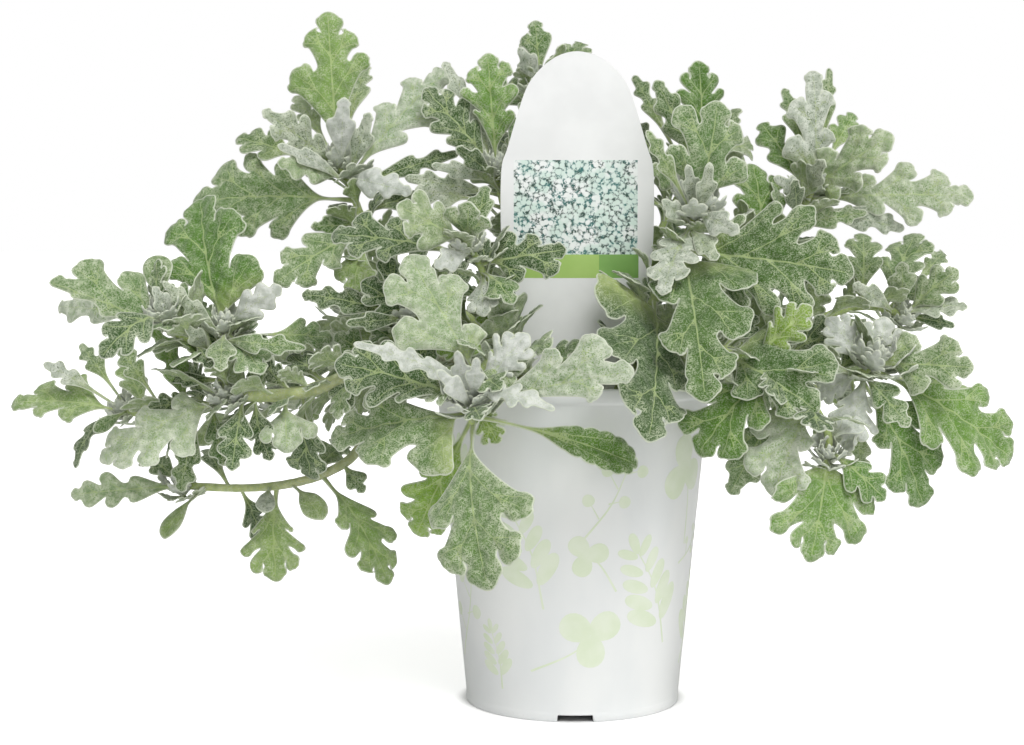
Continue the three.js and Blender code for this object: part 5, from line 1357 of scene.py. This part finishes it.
class Shader:
    """A Principled material with short calls for its nodes."""

    def __init__(self, name, **values):
        self.material = bpy.data.materials.new(name)
        self.material.use_nodes = True
        self.tree = self.material.node_tree
        self.surface = self.tree.nodes["Principled BSDF"]
        for key, value in values.items():
            self.surface.inputs[key.replace("_", " ")].default_value = value
        self.object_place = add_node(self.tree, "ShaderNodeTexCoord").outputs["Object"]

    def node(self, kind, **inputs):
        return add_node(self.tree, kind, **inputs)

    def math(self, operation, *values):
        node = self.node("ShaderNodeMath", operation=operation)
        for i, value in enumerate(values):
            self.put(value, node.inputs[i])
        return node.outputs[0]

    def put(self, value, socket):
        if isinstance(value, bpy.types.NodeSocket):
            self.tree.links.new(value, socket)
        else:
            socket.default_value = value

    def ramp(self, value, low, high, to_low=0.0, to_high=1.0):
        """value from low to high as a smooth step from to_low to to_high."""
        node = self.node("ShaderNodeMapRange", interpolation_type="SMOOTHSTEP")
        for socket, setting in zip(node.inputs[:5], (value, low, high, to_low, to_high)):
            self.put(setting, socket)
        return node.outputs[0]

    def mix(self, share, first, second):
        node = self.node("ShaderNodeMix", data_type="RGBA")
        self.put(share, node.inputs[0])
        for socket, color in ((node.inputs[6], first), (node.inputs[7], second)):
            self.put(color if isinstance(color, bpy.types.NodeSocket) else (*linear(color), 1), socket)
        return node.outputs[2]

    def noise(self, size, detail=2.0, roughness=0.5, stretch=None):
        """Noise whose features are about size millimetres."""
        place = self.object_place
        if stretch is not None:
            place = self.node("ShaderNodeVectorMath", operation="MULTIPLY", i0=place, i1=stretch).outputs[0]
        scale = 1 / (size * MM)
        node = self.node("ShaderNodeTexNoise", Vector=place, Scale=scale, Detail=detail, Roughness=roughness)
        return node.outputs["Fac"]

    def bump(self, height, strength, distance):
        node = self.node("ShaderNodeBump", Height=height, Strength=strength, Distance=distance * MM)
        self.tree.links.new(node.outputs[0], self.surface.inputs["Normal"])

    def color(self, socket):
        self.tree.links.new(socket, self.surface.inputs["Base Color"])

    def rough(self, socket):
        self.tree.links.new(socket, self.surface.inputs["Roughness"])


HAIR_SPACING = 0.36
FELT = (200, 208, 180)
FELT_SHADE = (152, 167, 132)
WHITE_FELT = (222, 225, 219)
WHITE_SHADE = (186, 192, 182)
VEIN = (190, 206, 146)


def felted_material():
    shader = Shader("felted_leaf", Sheen_Weight=0.25, Sheen_Roughness=0.5, Specular_IOR_Level=0.25)
    green = shader.node("ShaderNodeAttribute", attribute_name="green")
    places = shader.node("ShaderNodeSeparateXYZ", Vector=shader.node(
        "ShaderNodeAttribute", attribute_name="leaf_map").outputs["Vector"]).outputs
    vein, edge, under = places[0], places[1], places[2]
    patches = shader.noise(6.0, 3)
    own = shader.node("ShaderNodeMix", data_type="RGBA", blend_type="MULTIPLY", i0=0.6)
    shader.put(green.outputs["Color"], own.inputs[6])
    shader.put(shader.mix(shader.ramp(patches, 0.35, 0.65), (196, 210, 170), (255, 255, 235)), own.inputs[7])
    blade = shader.mix(shader.math("MULTIPLY", under, 0.8), own.outputs[2], UNDER_GREEN)
    line = shader.math("SUBTRACT", 1.0, shader.ramp(vein, 0.5, VEIN_SHOWN))
    blade = shader.mix(shader.math("MULTIPLY", line, 0.6), blade, VEIN)
    density = shader.math("ADD", green.outputs["Alpha"], shader.ramp(edge, 0.4, 6.0, 0.18, -0.08))
    density = shader.math("ADD", density, shader.ramp(patches, 0.35, 0.7, -0.06, 0.06))
    density = shader.math("ADD", density, shader.math("MULTIPLY", under, 0.12))
    density = shader.math("SUBTRACT", density, shader.math("MULTIPLY", line, 0.2))
    hairs = shader.node("ShaderNodeTexVoronoi", Vector=shader.object_place, Scale=1 / (HAIR_SPACING * MM))
    hair = shader.node("ShaderNodeSeparateXYZ", Vector=hairs.outputs["Color"]).outputs[0]
    cluster = shader.ramp(shader.noise(0.5, 2, 0.6), 0.3, 0.7)
    grain = shader.math("ADD", shader.math("MULTIPLY", hair, 0.7), shader.math("MULTIPLY", cluster, 0.3))
    threshold = shader.math("SUBTRACT", 0.76, shader.math("MULTIPLY", density, 0.56))
    lit = shader.node("ShaderNodeMapRange", interpolation_type="SMOOTHSTEP")
    shader.put(grain, lit.inputs[0])
    shader.put(shader.math("SUBTRACT", threshold, 0.2), lit.inputs[1])
    shader.put(shader.math("ADD", threshold, 0.2), lit.inputs[2])
    speckle = shader.math("MULTIPLY", lit.outputs[0], shader.ramp(density, 0.1, 0.9, 0.5, 0.92))
    cloud = shader.ramp(shader.noise(3.0), 0.3, 0.7)
    felt = shader.mix(cloud, FELT_SHADE, FELT)
    white = shader.mix(cloud, WHITE_SHADE, WHITE_FELT)
    felt = shader.mix(shader.ramp(green.outputs["Alpha"], 0.6, 1.0), felt, white)
    blade = shader.mix(speckle, blade, felt)
    rim = shader.math("SUBTRACT", 1.0, shader.ramp(edge, 0.15, 0.6))
    blade = shader.mix(shader.math("MULTIPLY", rim, 0.8), blade, (222, 228, 208))
    shader.color(blade)
    shader.rough(shader.ramp(speckle, 0, 1, 0.6, 0.95))
    relief = shader.math("ADD", shader.math("MULTIPLY", grain, 0.6), shader.math("MULTIPLY", line, 0.35))
    shader.bump(relief, 0.7, 0.4)
    return shader.material


def ride_for(made, slot, *nodes):
    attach(made, "root")
    if nodes:
        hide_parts(*nodes)
    return made


felted = felted_material()
SHEATH = 1.2  # bases of petioles thicken the woody stems
WOODY_SHOOTS = ("shoot_left", "shoot_lower_left")

for shoot in shoots:
    piece = Piece(shoot.name + "_fine")
    for i, (at, radii) in enumerate(shoot.lines):
        woody = shoot.name in WOODY_SHOOTS and i == 0
        greens = [linear(WOODY if woody else STEM_GREEN), linear(STEM_GREEN)]
        add_rod(piece, at, radii * (SHEATH if woody else 1), greens, STEM_FELT, seed=i + 3)
    for leaf in shoot.leaves:
        add_leaf(piece, leaf)
    ride_for(piece.build(felted), "foliage", shoot.name)


# The pot
def wall_radius(z):
    return FOOT_RADIUS + WALL_SLOPE * z


def pot_profile():
    """The pot's section as [radius, height], from the base's middle round to the floor's middle."""
    foot = FOOT_RADIUS - FOOT_RING_WIDTH
    rim_foot = POT_HEIGHT - RIM_HEIGHT
    points = [(0, 0), (CENTRE_PAD_RADIUS - 0.3, 0), (CENTRE_PAD_RADIUS, 0.2),
              (CENTRE_PAD_RADIUS + 1, RECESS_HEIGHT), (foot - 0.1, RECESS_HEIGHT),
              (foot, RECESS_HEIGHT - 0.3), (foot, 0.3), (foot + 0.4, 0), (FOOT_RADIUS + 0.1, 0),
              (FOOT_RADIUS + 0.5, 0.4), (FOOT_RADIUS + 0.5, FOOT_STEP - 0.2),
              (wall_radius(FOOT_STEP) + 0.1, FOOT_STEP + 0.2), (wall_radius(4), 4.0)]
    points += [(wall_radius(z), z) for z in np.linspace(8, rim_foot - 0.6, 26)]
    points += [(wall_radius(rim_foot) + 0.1, rim_foot - 0.1), (RIM_RADIUS - 0.3, rim_foot + 0.5),
               (RIM_RADIUS, rim_foot + 0.9), (RIM_RADIUS, rim_foot + 3), (RIM_RADIUS, POT_HEIGHT - 1),
               (RIM_RADIUS - 0.25, POT_HEIGHT - 0.35), (RIM_RADIUS - 0.8, POT_HEIGHT)]
    inner = wall_radius(POT_HEIGHT) - WALL
    points += [(inner + 0.5, POT_HEIGHT - 0.05), (inner, POT_HEIGHT - 0.5), (inner - 0.1, POT_HEIGHT - 2)]
    points += [(wall_radius(z) - WALL, z) for z in (110, 90, 60, 30, FLOOR_TOP + 1)]
    points += [(wall_radius(FLOOR_TOP) - WALL - 1, FLOOR_TOP), (20, FLOOR_TOP), (0, FLOOR_TOP)]
    return points


def lathe(profile, angles, lift=None):
    """A closed turned solid: vertices and triangles; lift may raise a ring's vertices by angle."""
    vertices, rings = [], []
    for radius, z in profile:
        if radius == 0:
            rings.append([len(vertices)] * len(angles))
            vertices.append((0, 0, z))
            continue
        rings.append(list(range(len(vertices), len(vertices) + len(angles))))
        for angle in angles:
            height = lift(radius, z, angle) if lift else z
            vertices.append((radius * math.cos(angle), radius * math.sin(angle), height))
    triangles = []
    for low, high in zip(rings, rings[1:]):
        for i in range(len(angles)):
            k = (i + 1) % len(angles)
            if low[i] != low[k]:
                triangles.append((low[i], low[k], high[k]))
            if high[i] != high[k]:
                triangles.append((low[i], high[k], high[i]))
    return np.array(vertices, float), np.array(triangles)


DRAIN_HALF = DRAIN_WIDTH / 2 / FOOT_RADIUS
DRAIN_EDGE = (-0.003, 0.004)
POT_SIDES = 168
RIM_ANGLE = math.radians(35)
drain_middles = [-math.pi / 2 + i * 2 * math.pi / DRAIN_COUNT for i in range(DRAIN_COUNT)]


def drain_lift(radius, z, angle):
    """Raises the foot ring over each drain slot."""
    near = min(abs((angle - middle + math.pi) % (2 * math.pi) - math.pi) for middle in drain_middles)
    if radius > FOOT_RADIUS - FOOT_RING_WIDTH - 1 and z < DRAIN_HEIGHT and near < DRAIN_HALF:
        return DRAIN_HEIGHT + z * 0.1
    return z


pot_angles = list(np.linspace(0, 2 * math.pi, POT_SIDES, endpoint=False))
for middle in drain_middles:
    for side in (-1, 1):
        pot_angles += [(middle + side * (DRAIN_HALF + gap)) % (2 * math.pi) for gap in DRAIN_EDGE]
pot_angles.sort()


def plain_piece(name, vertices, triangles, material, sharp=False):
    piece = Piece(name)
    piece.add(vertices, triangles, np.ones(4), np.zeros(3))
    made = piece.build(material)
    if sharp:
        made.data.set_sharp_from_angle(angle=RIM_ANGLE)
    return made


def pot_material():
    shader = Shader(
        "white_pot_plastic", Roughness=0.4, Specular_IOR_Level=0.45, Coat_Weight=0.12, Coat_Roughness=0.3
    )
    cloud = shader.noise(26, 3, stretch=(1, 1, 0.5))
    shade = shader.mix(shader.ramp(cloud, 0.3, 0.7), (222, 224, 224), (230, 231, 230))
    # The recess under the base is painted dark: painted shade for the shadowed cavity seen through the drain
    # slots.
    height = shader.node("ShaderNodeSeparateXYZ", Vector=shader.object_place).outputs[2]
    across = shader.node("ShaderNodeVectorMath", operation="MULTIPLY", i0=shader.object_place, i1=(1, 1, 0))
    away = shader.node("ShaderNodeVectorMath", operation="LENGTH", i0=across.outputs[0]).outputs["Value"]
    deep = shader.ramp(height, RECESS_HEIGHT * MM, (RECESS_HEIGHT + 0.4) * MM, 1, 0)
    inside = shader.ramp(away, (FOOT_RADIUS - 1.5) * MM, FOOT_RADIUS * MM, 1, 0)
    # Painted shade: the recess's ceiling and walls are mixed towards near black.
    shade = shader.mix(shader.math("MULTIPLY", deep, inside), shade, (40, 38, 35))
    scuffs = shader.ramp(shader.noise(0.8, 4, 0.7, stretch=(1, 1, 0.25)), 0.62, 0.78)
    low = shader.ramp(height, 0.0, 14 * MM, 1.0, 0.15)
    scuffed = shader.math("MULTIPLY", scuffs, shader.math("MULTIPLY", low, 0.35))
    shader.color(shader.mix(scuffed, shade, (198, 196, 188)))
    shader.rough(shader.ramp(shader.noise(6, 4, 0.6), 0.3, 0.7, 0.34, 0.5))
    fine = shader.math("ADD", shader.math("MULTIPLY", shader.noise(1.1, 2), 0.4), shader.noise(14, 2))
    shader.bump(fine, 0.12, 0.25)
    return shader.material


pot_vertices, pot_triangles = lathe(pot_profile(), pot_angles, drain_lift)
ride_for(plain_piece("pot_fine", pot_vertices, pot_triangles, pot_material()), "pot", "pot")


# The pot's print: pale sprigs of the builder's own design, as a thin film on the wall.
FILM = 0.06
# Each sprig: its middle round the wall (mm from the front), height, tilt in degrees, size and kind.
SPRIGS = [
    (-20, 66, 18, 44, "sprig"), (12, 88, -32, 38, "berries"), (32, 50, 24, 46, "sprig"),
    (-2, 30, -58, 38, "clover"), (52, 88, 10, 42, "clover"), (66, 38, -20, 44, "sprig"),
    (88, 76, 30, 46, "berries"), (112, 38, -28, 40, "sprig"), (124, 92, 14, 42, "sprig"),
    (146, 58, -14, 44, "clover"), (-54, 40, -24, 44, "berries"), (-48, 92, 30, 40, "sprig"),
    (-82, 66, -8, 46, "sprig"), (-108, 96, 26, 38, "clover"), (-114, 42, -22, 44, "sprig"),
    (-138, 72, 12, 42, "berries"), (8, 62, 40, 26, "clover"), (-34, 24, 10, 26, "sprig"),
    (60, 66, -60, 24, "berries"),
]
PRINT_STEP = 2.0


def ellipse(x, y, long, wide, turn, count=18):
    a = np.arange(count) * 2 * math.pi / count
    shape = np.stack([wide * np.cos(a), long * np.sin(a) * (1 - 0.12 * np.sin(a))], 1)
    c, s = math.cos(turn), math.sin(turn)
    return shape @ np.array([[c, s], [-s, c]]) + [x, y]


def strip(points, half):
    """A thin outline round a line of places."""
    line = sampled(points, 1.5)
    way = units(np.gradient(line, axis=0))
    side = np.stack([way[:, 1], -way[:, 0]], 1)
    taper = (half * np.linspace(1, 0.45, len(line)))[:, None]
    return np.vstack([line + side * taper, (line - side * taper)[::-1]])


def motif(kind, size):
    """A motif's outlines about the origin, size high."""
    shapes = [strip([(0, -size / 2), (size * 0.06, 0), (0, size * 0.42)], 0.45)]
    if kind == "sprig":
        for i in range(5):
            y = size * (-0.28 + 0.16 * i)
            reach = size * (0.17 - 0.018 * i)
            for side in (-1, 1):
                shapes.append(ellipse(side * reach, y + reach * 0.75, reach, reach * 0.42, -side * 0.85))
        shapes.append(ellipse(0, size * 0.5, size * 0.1, size * 0.045, 0))
    elif kind == "berries":
        for i in range(4):
            y = size * (-0.2 + 0.18 * i)
            side = 1 if i % 2 else -1
            shapes.append(strip([(size * 0.03, y), (side * size * 0.12, y + size * 0.08)], 0.3))
            shapes.append(ellipse(side * size * 0.17, y + size * 0.11, size * 0.065, size * 0.065, 0))
        shapes.append(ellipse(0, size * 0.47, size * 0.07, size * 0.07, 0))
    else:
        for turn in (0.0, 2.1, -2.1):
            x, y = -math.sin(turn) * size * 0.19, math.cos(turn) * size * 0.19
            shapes.append(ellipse(x, y + size * 0.24, size * 0.17, size * 0.15, turn))
    return shapes


def print_material(name, low, high, size=9):
    shader = Shader(name, Roughness=0.42, Specular_IOR_Level=0.4)
    shader.color(shader.mix(shader.ramp(shader.noise(size, 3), 0.3, 0.7), low, high))
    shader.bump(shader.noise(1.2, 2), 0.1, 0.1)
    return shader.material


film = Piece("pot_print")
rng = np.random.default_rng(5)
for round_wall, height, tilt, size, kind in SPRIGS:
    c, s = math.cos(math.radians(tilt)), math.sin(math.radians(tilt))
    for shape in motif(kind, size):
        flat, triangles, rim = flat_mesh(shape, [], PRINT_STEP, rng)
        around = flat[:, 0] * c - flat[:, 1] * s + round_wall
        up = flat[:, 0] * s + flat[:, 1] * c + height
        angle = -math.pi / 2 + around / wall_radius(height)
        faces = []
        for out in (FILM, -FILM):
            radius = wall_radius(up) + out
            faces.append(np.stack([radius * np.cos(angle), radius * np.sin(angle), up], 1))
        film.add(np.vstack(faces), doubled(len(flat), triangles, rim), np.ones(4), np.zeros(3))
made = film.build(print_material("pale_green_print", (222, 229, 210), (214, 224, 198)))
made.data.set_sharp_from_angle(angle=RIM_ANGLE)
ride_for(made, "pot")


# The soil: a mounded surface with grains, bark and perlite lying on it.
def soil_height(x, y):
    r = np.hypot(x, y) / 50
    low = SOIL_TOP - 1 + 0.8 * (1 - r) + 0.7 * np.sin(x * 0.31) * np.cos(y * 0.27 + 1)
    rough = 0.35 * np.sin(x * 1.7 + 2 * np.sin(y * 0.9)) * np.sin(y * 1.9 + np.sin(x * 1.3))
    return low + rough + 0.25 * np.sin(x * 3.1 + y * 1.1) * np.sin(y * 3.7 - x * 0.7)


def soil_material():
    shader = Shader("moist_compost", Roughness=0.95, Specular_IOR_Level=0.2)
    grain = shader.noise(1.3, 6, 0.7)
    dark = shader.mix(shader.ramp(grain, 0.35, 0.68), (38, 27, 20), (86, 64, 46))
    fibre = shader.ramp(shader.noise(2.2, 3, 0.6, stretch=(3, 1, 1)), 0.62, 0.7)
    shader.color(shader.mix(shader.math("MULTIPLY", fibre, 0.55), dark, (122, 94, 66)))
    shader.bump(grain, 1.0, 1.2)
    return shader.material


def mineral_material(name, low, high):
    shader = Shader(name, Roughness=0.9)
    grain = shader.noise(0.6, 4, 0.6)
    shader.color(shader.mix(shader.ramp(grain, 0.3, 0.7), low, high))
    shader.bump(grain, 0.8, 0.4)
    return shader.material


SOIL_RINGS = 44
SOIL_SIDES = 150
SOIL_FOOT = FLOOR_TOP + 0.3
SOIL_MIDDLE = 60
# The lumps' corners stray by these shares, and their own axes by those.
LUMP_ROUGHNESS = (0.7, 1.15)
LUMP_FLATNESS = (0.6, 1.2)
LUMP_RISE = 0.15
LUMP_RIM = 2.5

soil_radius = wall_radius(SOIL_TOP) - WALL - 0.35
radii = np.sqrt(np.linspace(0, 1, SOIL_RINGS))[1:] * soil_radius
soil_angles = np.linspace(0, 2 * math.pi, SOIL_SIDES, endpoint=False)
low_radius = wall_radius(FLOOR_TOP) - WALL - 0.5
middle_radius = wall_radius(SOIL_MIDDLE) - WALL - 0.4
soil_profile = [(0, SOIL_FOOT), (low_radius, SOIL_FOOT), (middle_radius, SOIL_MIDDLE)]
soil_profile += [(r, SOIL_TOP) for r in radii[::-1]] + [(0, SOIL_TOP)]
soil_vertices, soil_triangles = lathe(soil_profile, soil_angles)
crown = soil_vertices[:, 2] > SOIL_TOP - 1
soil_vertices[crown, 2] = soil_height(soil_vertices[crown, 0], soil_vertices[crown, 1])
ride_for(plain_piece("soil_fine", soil_vertices, soil_triangles, soil_material()), "soil", "soil")


def icosahedron():
    """An icosahedron's corners, 1.9 from its middle, and its triangles facing out."""
    golden = (1 + 5**0.5) / 2
    corners = [(a, b * golden, 0) for a in (-1, 1) for b in (-1, 1)]
    corners += [(0, a, b) for a, b, _ in corners] + [(b, 0, a) for a, b, _ in corners]
    corners = np.array(corners, float)
    edge = 2.01
    faces = []
    for a, b, c in combinations(range(len(corners)), 3):
        trio = corners[[a, b, c]]
        if max(np.linalg.norm(trio[i] - trio[i - 1]) for i in range(3)) < edge:
            normal = np.cross(trio[1] - trio[0], trio[2] - trio[0])
            faces.append((a, b, c) if normal @ trio.sum(0) > 0 else (a, c, b))
    return corners, np.array(faces)


lump_corners, lump_faces = icosahedron()


def lump(rng, size):
    """The corners of a small rough lump."""
    roughness = rng.uniform(*LUMP_ROUGHNESS, (len(lump_corners), 1))
    points = lump_corners * roughness / 1.9 * size * rng.uniform(*LUMP_FLATNESS, 3)
    turn = rng.uniform(0, 2 * math.pi)
    c, s = math.cos(turn), math.sin(turn)
    return points @ np.array([[c, s, 0], [-s, c, 0], [0, 0, 1]])


rng = np.random.default_rng(11)
for name, count, sizes, material in (
    ("soil_crumbs", 620, (0.8, 2.4), mineral_material("compost_crumb", (34, 24, 18), (92, 68, 48))),
    ("soil_bark", 90, (1.8, 4.2), mineral_material("bark_chip", (78, 50, 32), (128, 92, 62))),
    ("soil_perlite", 70, (0.9, 2.2), mineral_material("perlite", (214, 212, 204), (240, 240, 236))),
):
    lumps = Piece(name)
    for _ in range(count):
        r = (soil_radius - LUMP_RIM) * math.sqrt(rng.uniform())
        a = rng.uniform(0, 2 * math.pi)
        x, y = r * math.cos(a), r * math.sin(a)
        points = lump(rng, rng.uniform(*sizes))
        points = points + [x, y, float(soil_height(x, y)) + LUMP_RISE]
        lumps.add(points, lump_faces, np.ones(4), np.zeros(3))
    ride_for(lumps.build(material, smooth=False), "soil")


# The label: an arched plate on a stake, slightly curved from side to side, with a plain printed design.
LABEL_THICK = 0.8
LABEL_BOW = 1.4
LABEL_HALF = 28
LABEL_STEP = 3.0
LABEL_EDGE_STEP = 2.0
STAKE_MIDDLE = 2
STAKE_HALF = 5
STAKE_POINT = 8
LABEL_SIDE = [[1.7, 258.5], [-5, 257.2], [-10.8, 253.8], [-15.4, 249.2], [-18.8, 244], [-27, 218.5],
              [-28.7, 213.5], [-28.3, 172], [-26.6, 165.5], [-22.5, 160], [-20, 143], [-10, 111]]
# The print's parts as [left, right, bottom, top].
PANEL = [-24, 26, 177, 215]
BAND_LIGHT = [-24.5, 10.5, 167.5, 177]
BAND_DARK = [10.5, 26.5, 167.5, 177]


def label_place(x, z):
    place = seen(x, z, LABEL_DEPTH)
    return place[0], place[2]


def on_label(flat, out):
    """Flat places on the label's face, out in front of its middle."""
    x = (flat[:, 0] - LABEL_MIRROR) / LABEL_HALF
    return np.stack([flat[:, 0], LABEL_DEPTH + LABEL_BOW * x * x - out, flat[:, 1]], 1)


def straight(corners, step):
    """The corners' outline with a place every step."""
    stretches = []
    for a, b in zip(corners, corners[1:]):
        count = max(1, round(math.dist(a, b) / step))
        stretches.append(np.linspace(a, b, count, endpoint=False))
    return np.vstack([*stretches, corners[-1]])


def label_piece(name, outline, outs, material, edge=sampled):
    """A plate on the label's surface between two distances out from its middle."""
    loop = edge([*outline, outline[0]], LABEL_EDGE_STEP)[:-1]
    flat, triangles, rim = flat_mesh(loop, [], LABEL_STEP, np.random.default_rng(2))
    faces = [on_label(flat, out) for out in outs]
    return plain_piece(name, np.vstack(faces), doubled(len(flat), triangles, rim), material, sharp=True)


left = [label_place(x, z) for x, z in LABEL_SIDE]
right = [label_place(2 * LABEL_MIRROR - x, z) for x, z in LABEL_SIDE[1:]]
shoulder = LABEL_FOOT + STAKE_POINT
stake = [(STAKE_MIDDLE - STAKE_HALF, shoulder), (STAKE_MIDDLE, LABEL_FOOT),
         (STAKE_MIDDLE + STAKE_HALF, shoulder)]
label_outline = [*left, *stake, *reversed(right)]


def rectangle(x0, x1, z0, z1):
    return [label_place(x, z) for x, z in ((x0, z0), (x1, z0), (x1, z1), (x0, z1))]


def label_material():
    shader = Shader("white_label_plastic", Roughness=0.36, Specular_IOR_Level=0.45)
    shader.color(shader.mix(shader.ramp(shader.noise(18, 3), 0.3, 0.7), (231, 232, 231), (238, 239, 238)))
    shader.bump(shader.noise(1.5, 2), 0.08, 0.15)
    return shader.material


def foliage_print():
    """A generic speckled print of pale foliage."""
    shader = Shader("foliage_print", Roughness=0.38, Specular_IOR_Level=0.4)
    cells = shader.node("ShaderNodeTexVoronoi", Vector=shader.object_place, Scale=1 / (2.1 * MM))
    spots = shader.ramp(cells.outputs["Distance"], 0.4, 0.62)
    fine = shader.ramp(shader.noise(1.0, 3, 0.7), 0.4, 0.56)
    pale = shader.mix(shader.ramp(shader.noise(7, 2), 0.4, 0.62), (240, 243, 241), (214, 231, 222))
    deep = shader.mix(shader.ramp(shader.noise(5, 2), 0.42, 0.6), (48, 76, 66), (56, 116, 112))
    share = shader.math("MULTIPLY", spots, fine)
    shader.color(shader.mix(share, pale, deep))
    return shader.material


front = LABEL_THICK / 2
plate = label_piece("label_plate", label_outline[::-1], (front, -front), label_material())
ride_for(plate, "label", "plant_label")
for name, box, material in (
    ("label_picture", PANEL, foliage_print()),
    ("label_band_light", BAND_LIGHT, print_material("light_green_print", (162, 196, 104), (170, 202, 112))),
    ("label_band_dark", BAND_DARK, print_material("dark_green_print", (124, 170, 86), (132, 178, 94))),
):
    outs = (front + FILM, front - FILM)
    ride_for(label_piece(name, rectangle(*box)[::-1], outs, material, edge=straight), "label")


# Floor, light and camera
ROOM_LIGHT = 0.48
BACKDROP = 1.0
FLOOR_LIFT = 0.58
CONTACT_SHADOW = [0.0415, 0.049]
FLOOR_SIZE = 14
FLOOR_MIDDLE = (0, 2, 0)


def seen_and_lit(tree, shown, lighting):
    """A strength of shown where the camera looks straight at it, and of lighting otherwise."""
    strength = add_node(tree, "ShaderNodeMapRange")
    tree.links.new(add_node(tree, "ShaderNodeLightPath").outputs["Is Camera Ray"], strength.inputs[0])
    strength.inputs[3].default_value = lighting
    strength.inputs[4].default_value = shown
    return strength.outputs[0]


def stage_floor():
    bpy.ops.mesh.primitive_plane_add(size=FLOOR_SIZE, location=FLOOR_MIDDLE)
    floor = bpy.context.active_object
    floor.name = "floor"
    shader = Shader("pale_floor", Roughness=0.8, Specular_IOR_Level=0.1)
    shader.surface.inputs["Emission Color"].default_value = (1, 1, 1, 1)
    pot = floor.location * -1
    place = shader.node("ShaderNodeVectorMath", operation="SUBTRACT", i0=shader.object_place, i1=pot)
    away = shader.node("ShaderNodeVectorMath", operation="LENGTH", i0=place.outputs[0]).outputs["Value"]
    lift = seen_and_lit(shader.tree, FLOOR_LIFT, 0)
    shown = shader.math("MULTIPLY", lift, shader.ramp(away, *CONTACT_SHADOW))
    shader.put(shown, shader.surface.inputs["Emission Strength"])
    shader.color(shader.mix(shader.noise(400, 2), (250, 250, 250), (253, 253, 253)))
    floor.data.materials.append(shader.material)


def soft_sun(name, way, strength, softness):
    light = bpy.data.lights.new(name, "SUN")
    light.energy = strength
    light.angle = math.radians(softness)
    made = bpy.data.objects.new(name, light)
    made.rotation_euler = Vector(way).to_track_quat("-Z", "Y").to_euler()
    bpy.context.scene.collection.objects.link(made)


def white_room():
    """A white backdrop, with less light from the room than the backdrop shows."""
    world = bpy.data.worlds.new("white_room")
    world.use_nodes = True
    tree = world.node_tree
    background = tree.nodes["Background"]
    background.inputs["Color"].default_value = (1, 1, 1, 1)
    tree.links.new(seen_and_lit(tree, BACKDROP, ROOM_LIGHT), background.inputs["Strength"])
    bpy.context.scene.world = world


stage_floor()
soft_sun("key", (-0.3, 0.65, -1.0), 1.75, 25)
soft_sun("fill", (-0.3, 1.0, -0.2), 0.65, 50)
white_room()
bpy.context.scene.view_settings.view_transform = "Standard"

camera = bpy.data.cameras.new("camera")
camera.sensor_width = SENSOR
camera.lens = LENS_PIXELS * SENSOR / IMAGE_WIDTH
camera_object = bpy.data.objects.new("camera", camera)
camera_object.location = Vector(EYE * MM)
camera_object.rotation_euler = (math.radians(90 - EYE_PITCH), 0, 0)
bpy.context.scene.collection.objects.link(camera_object)
bpy.context.scene.camera = camera_object
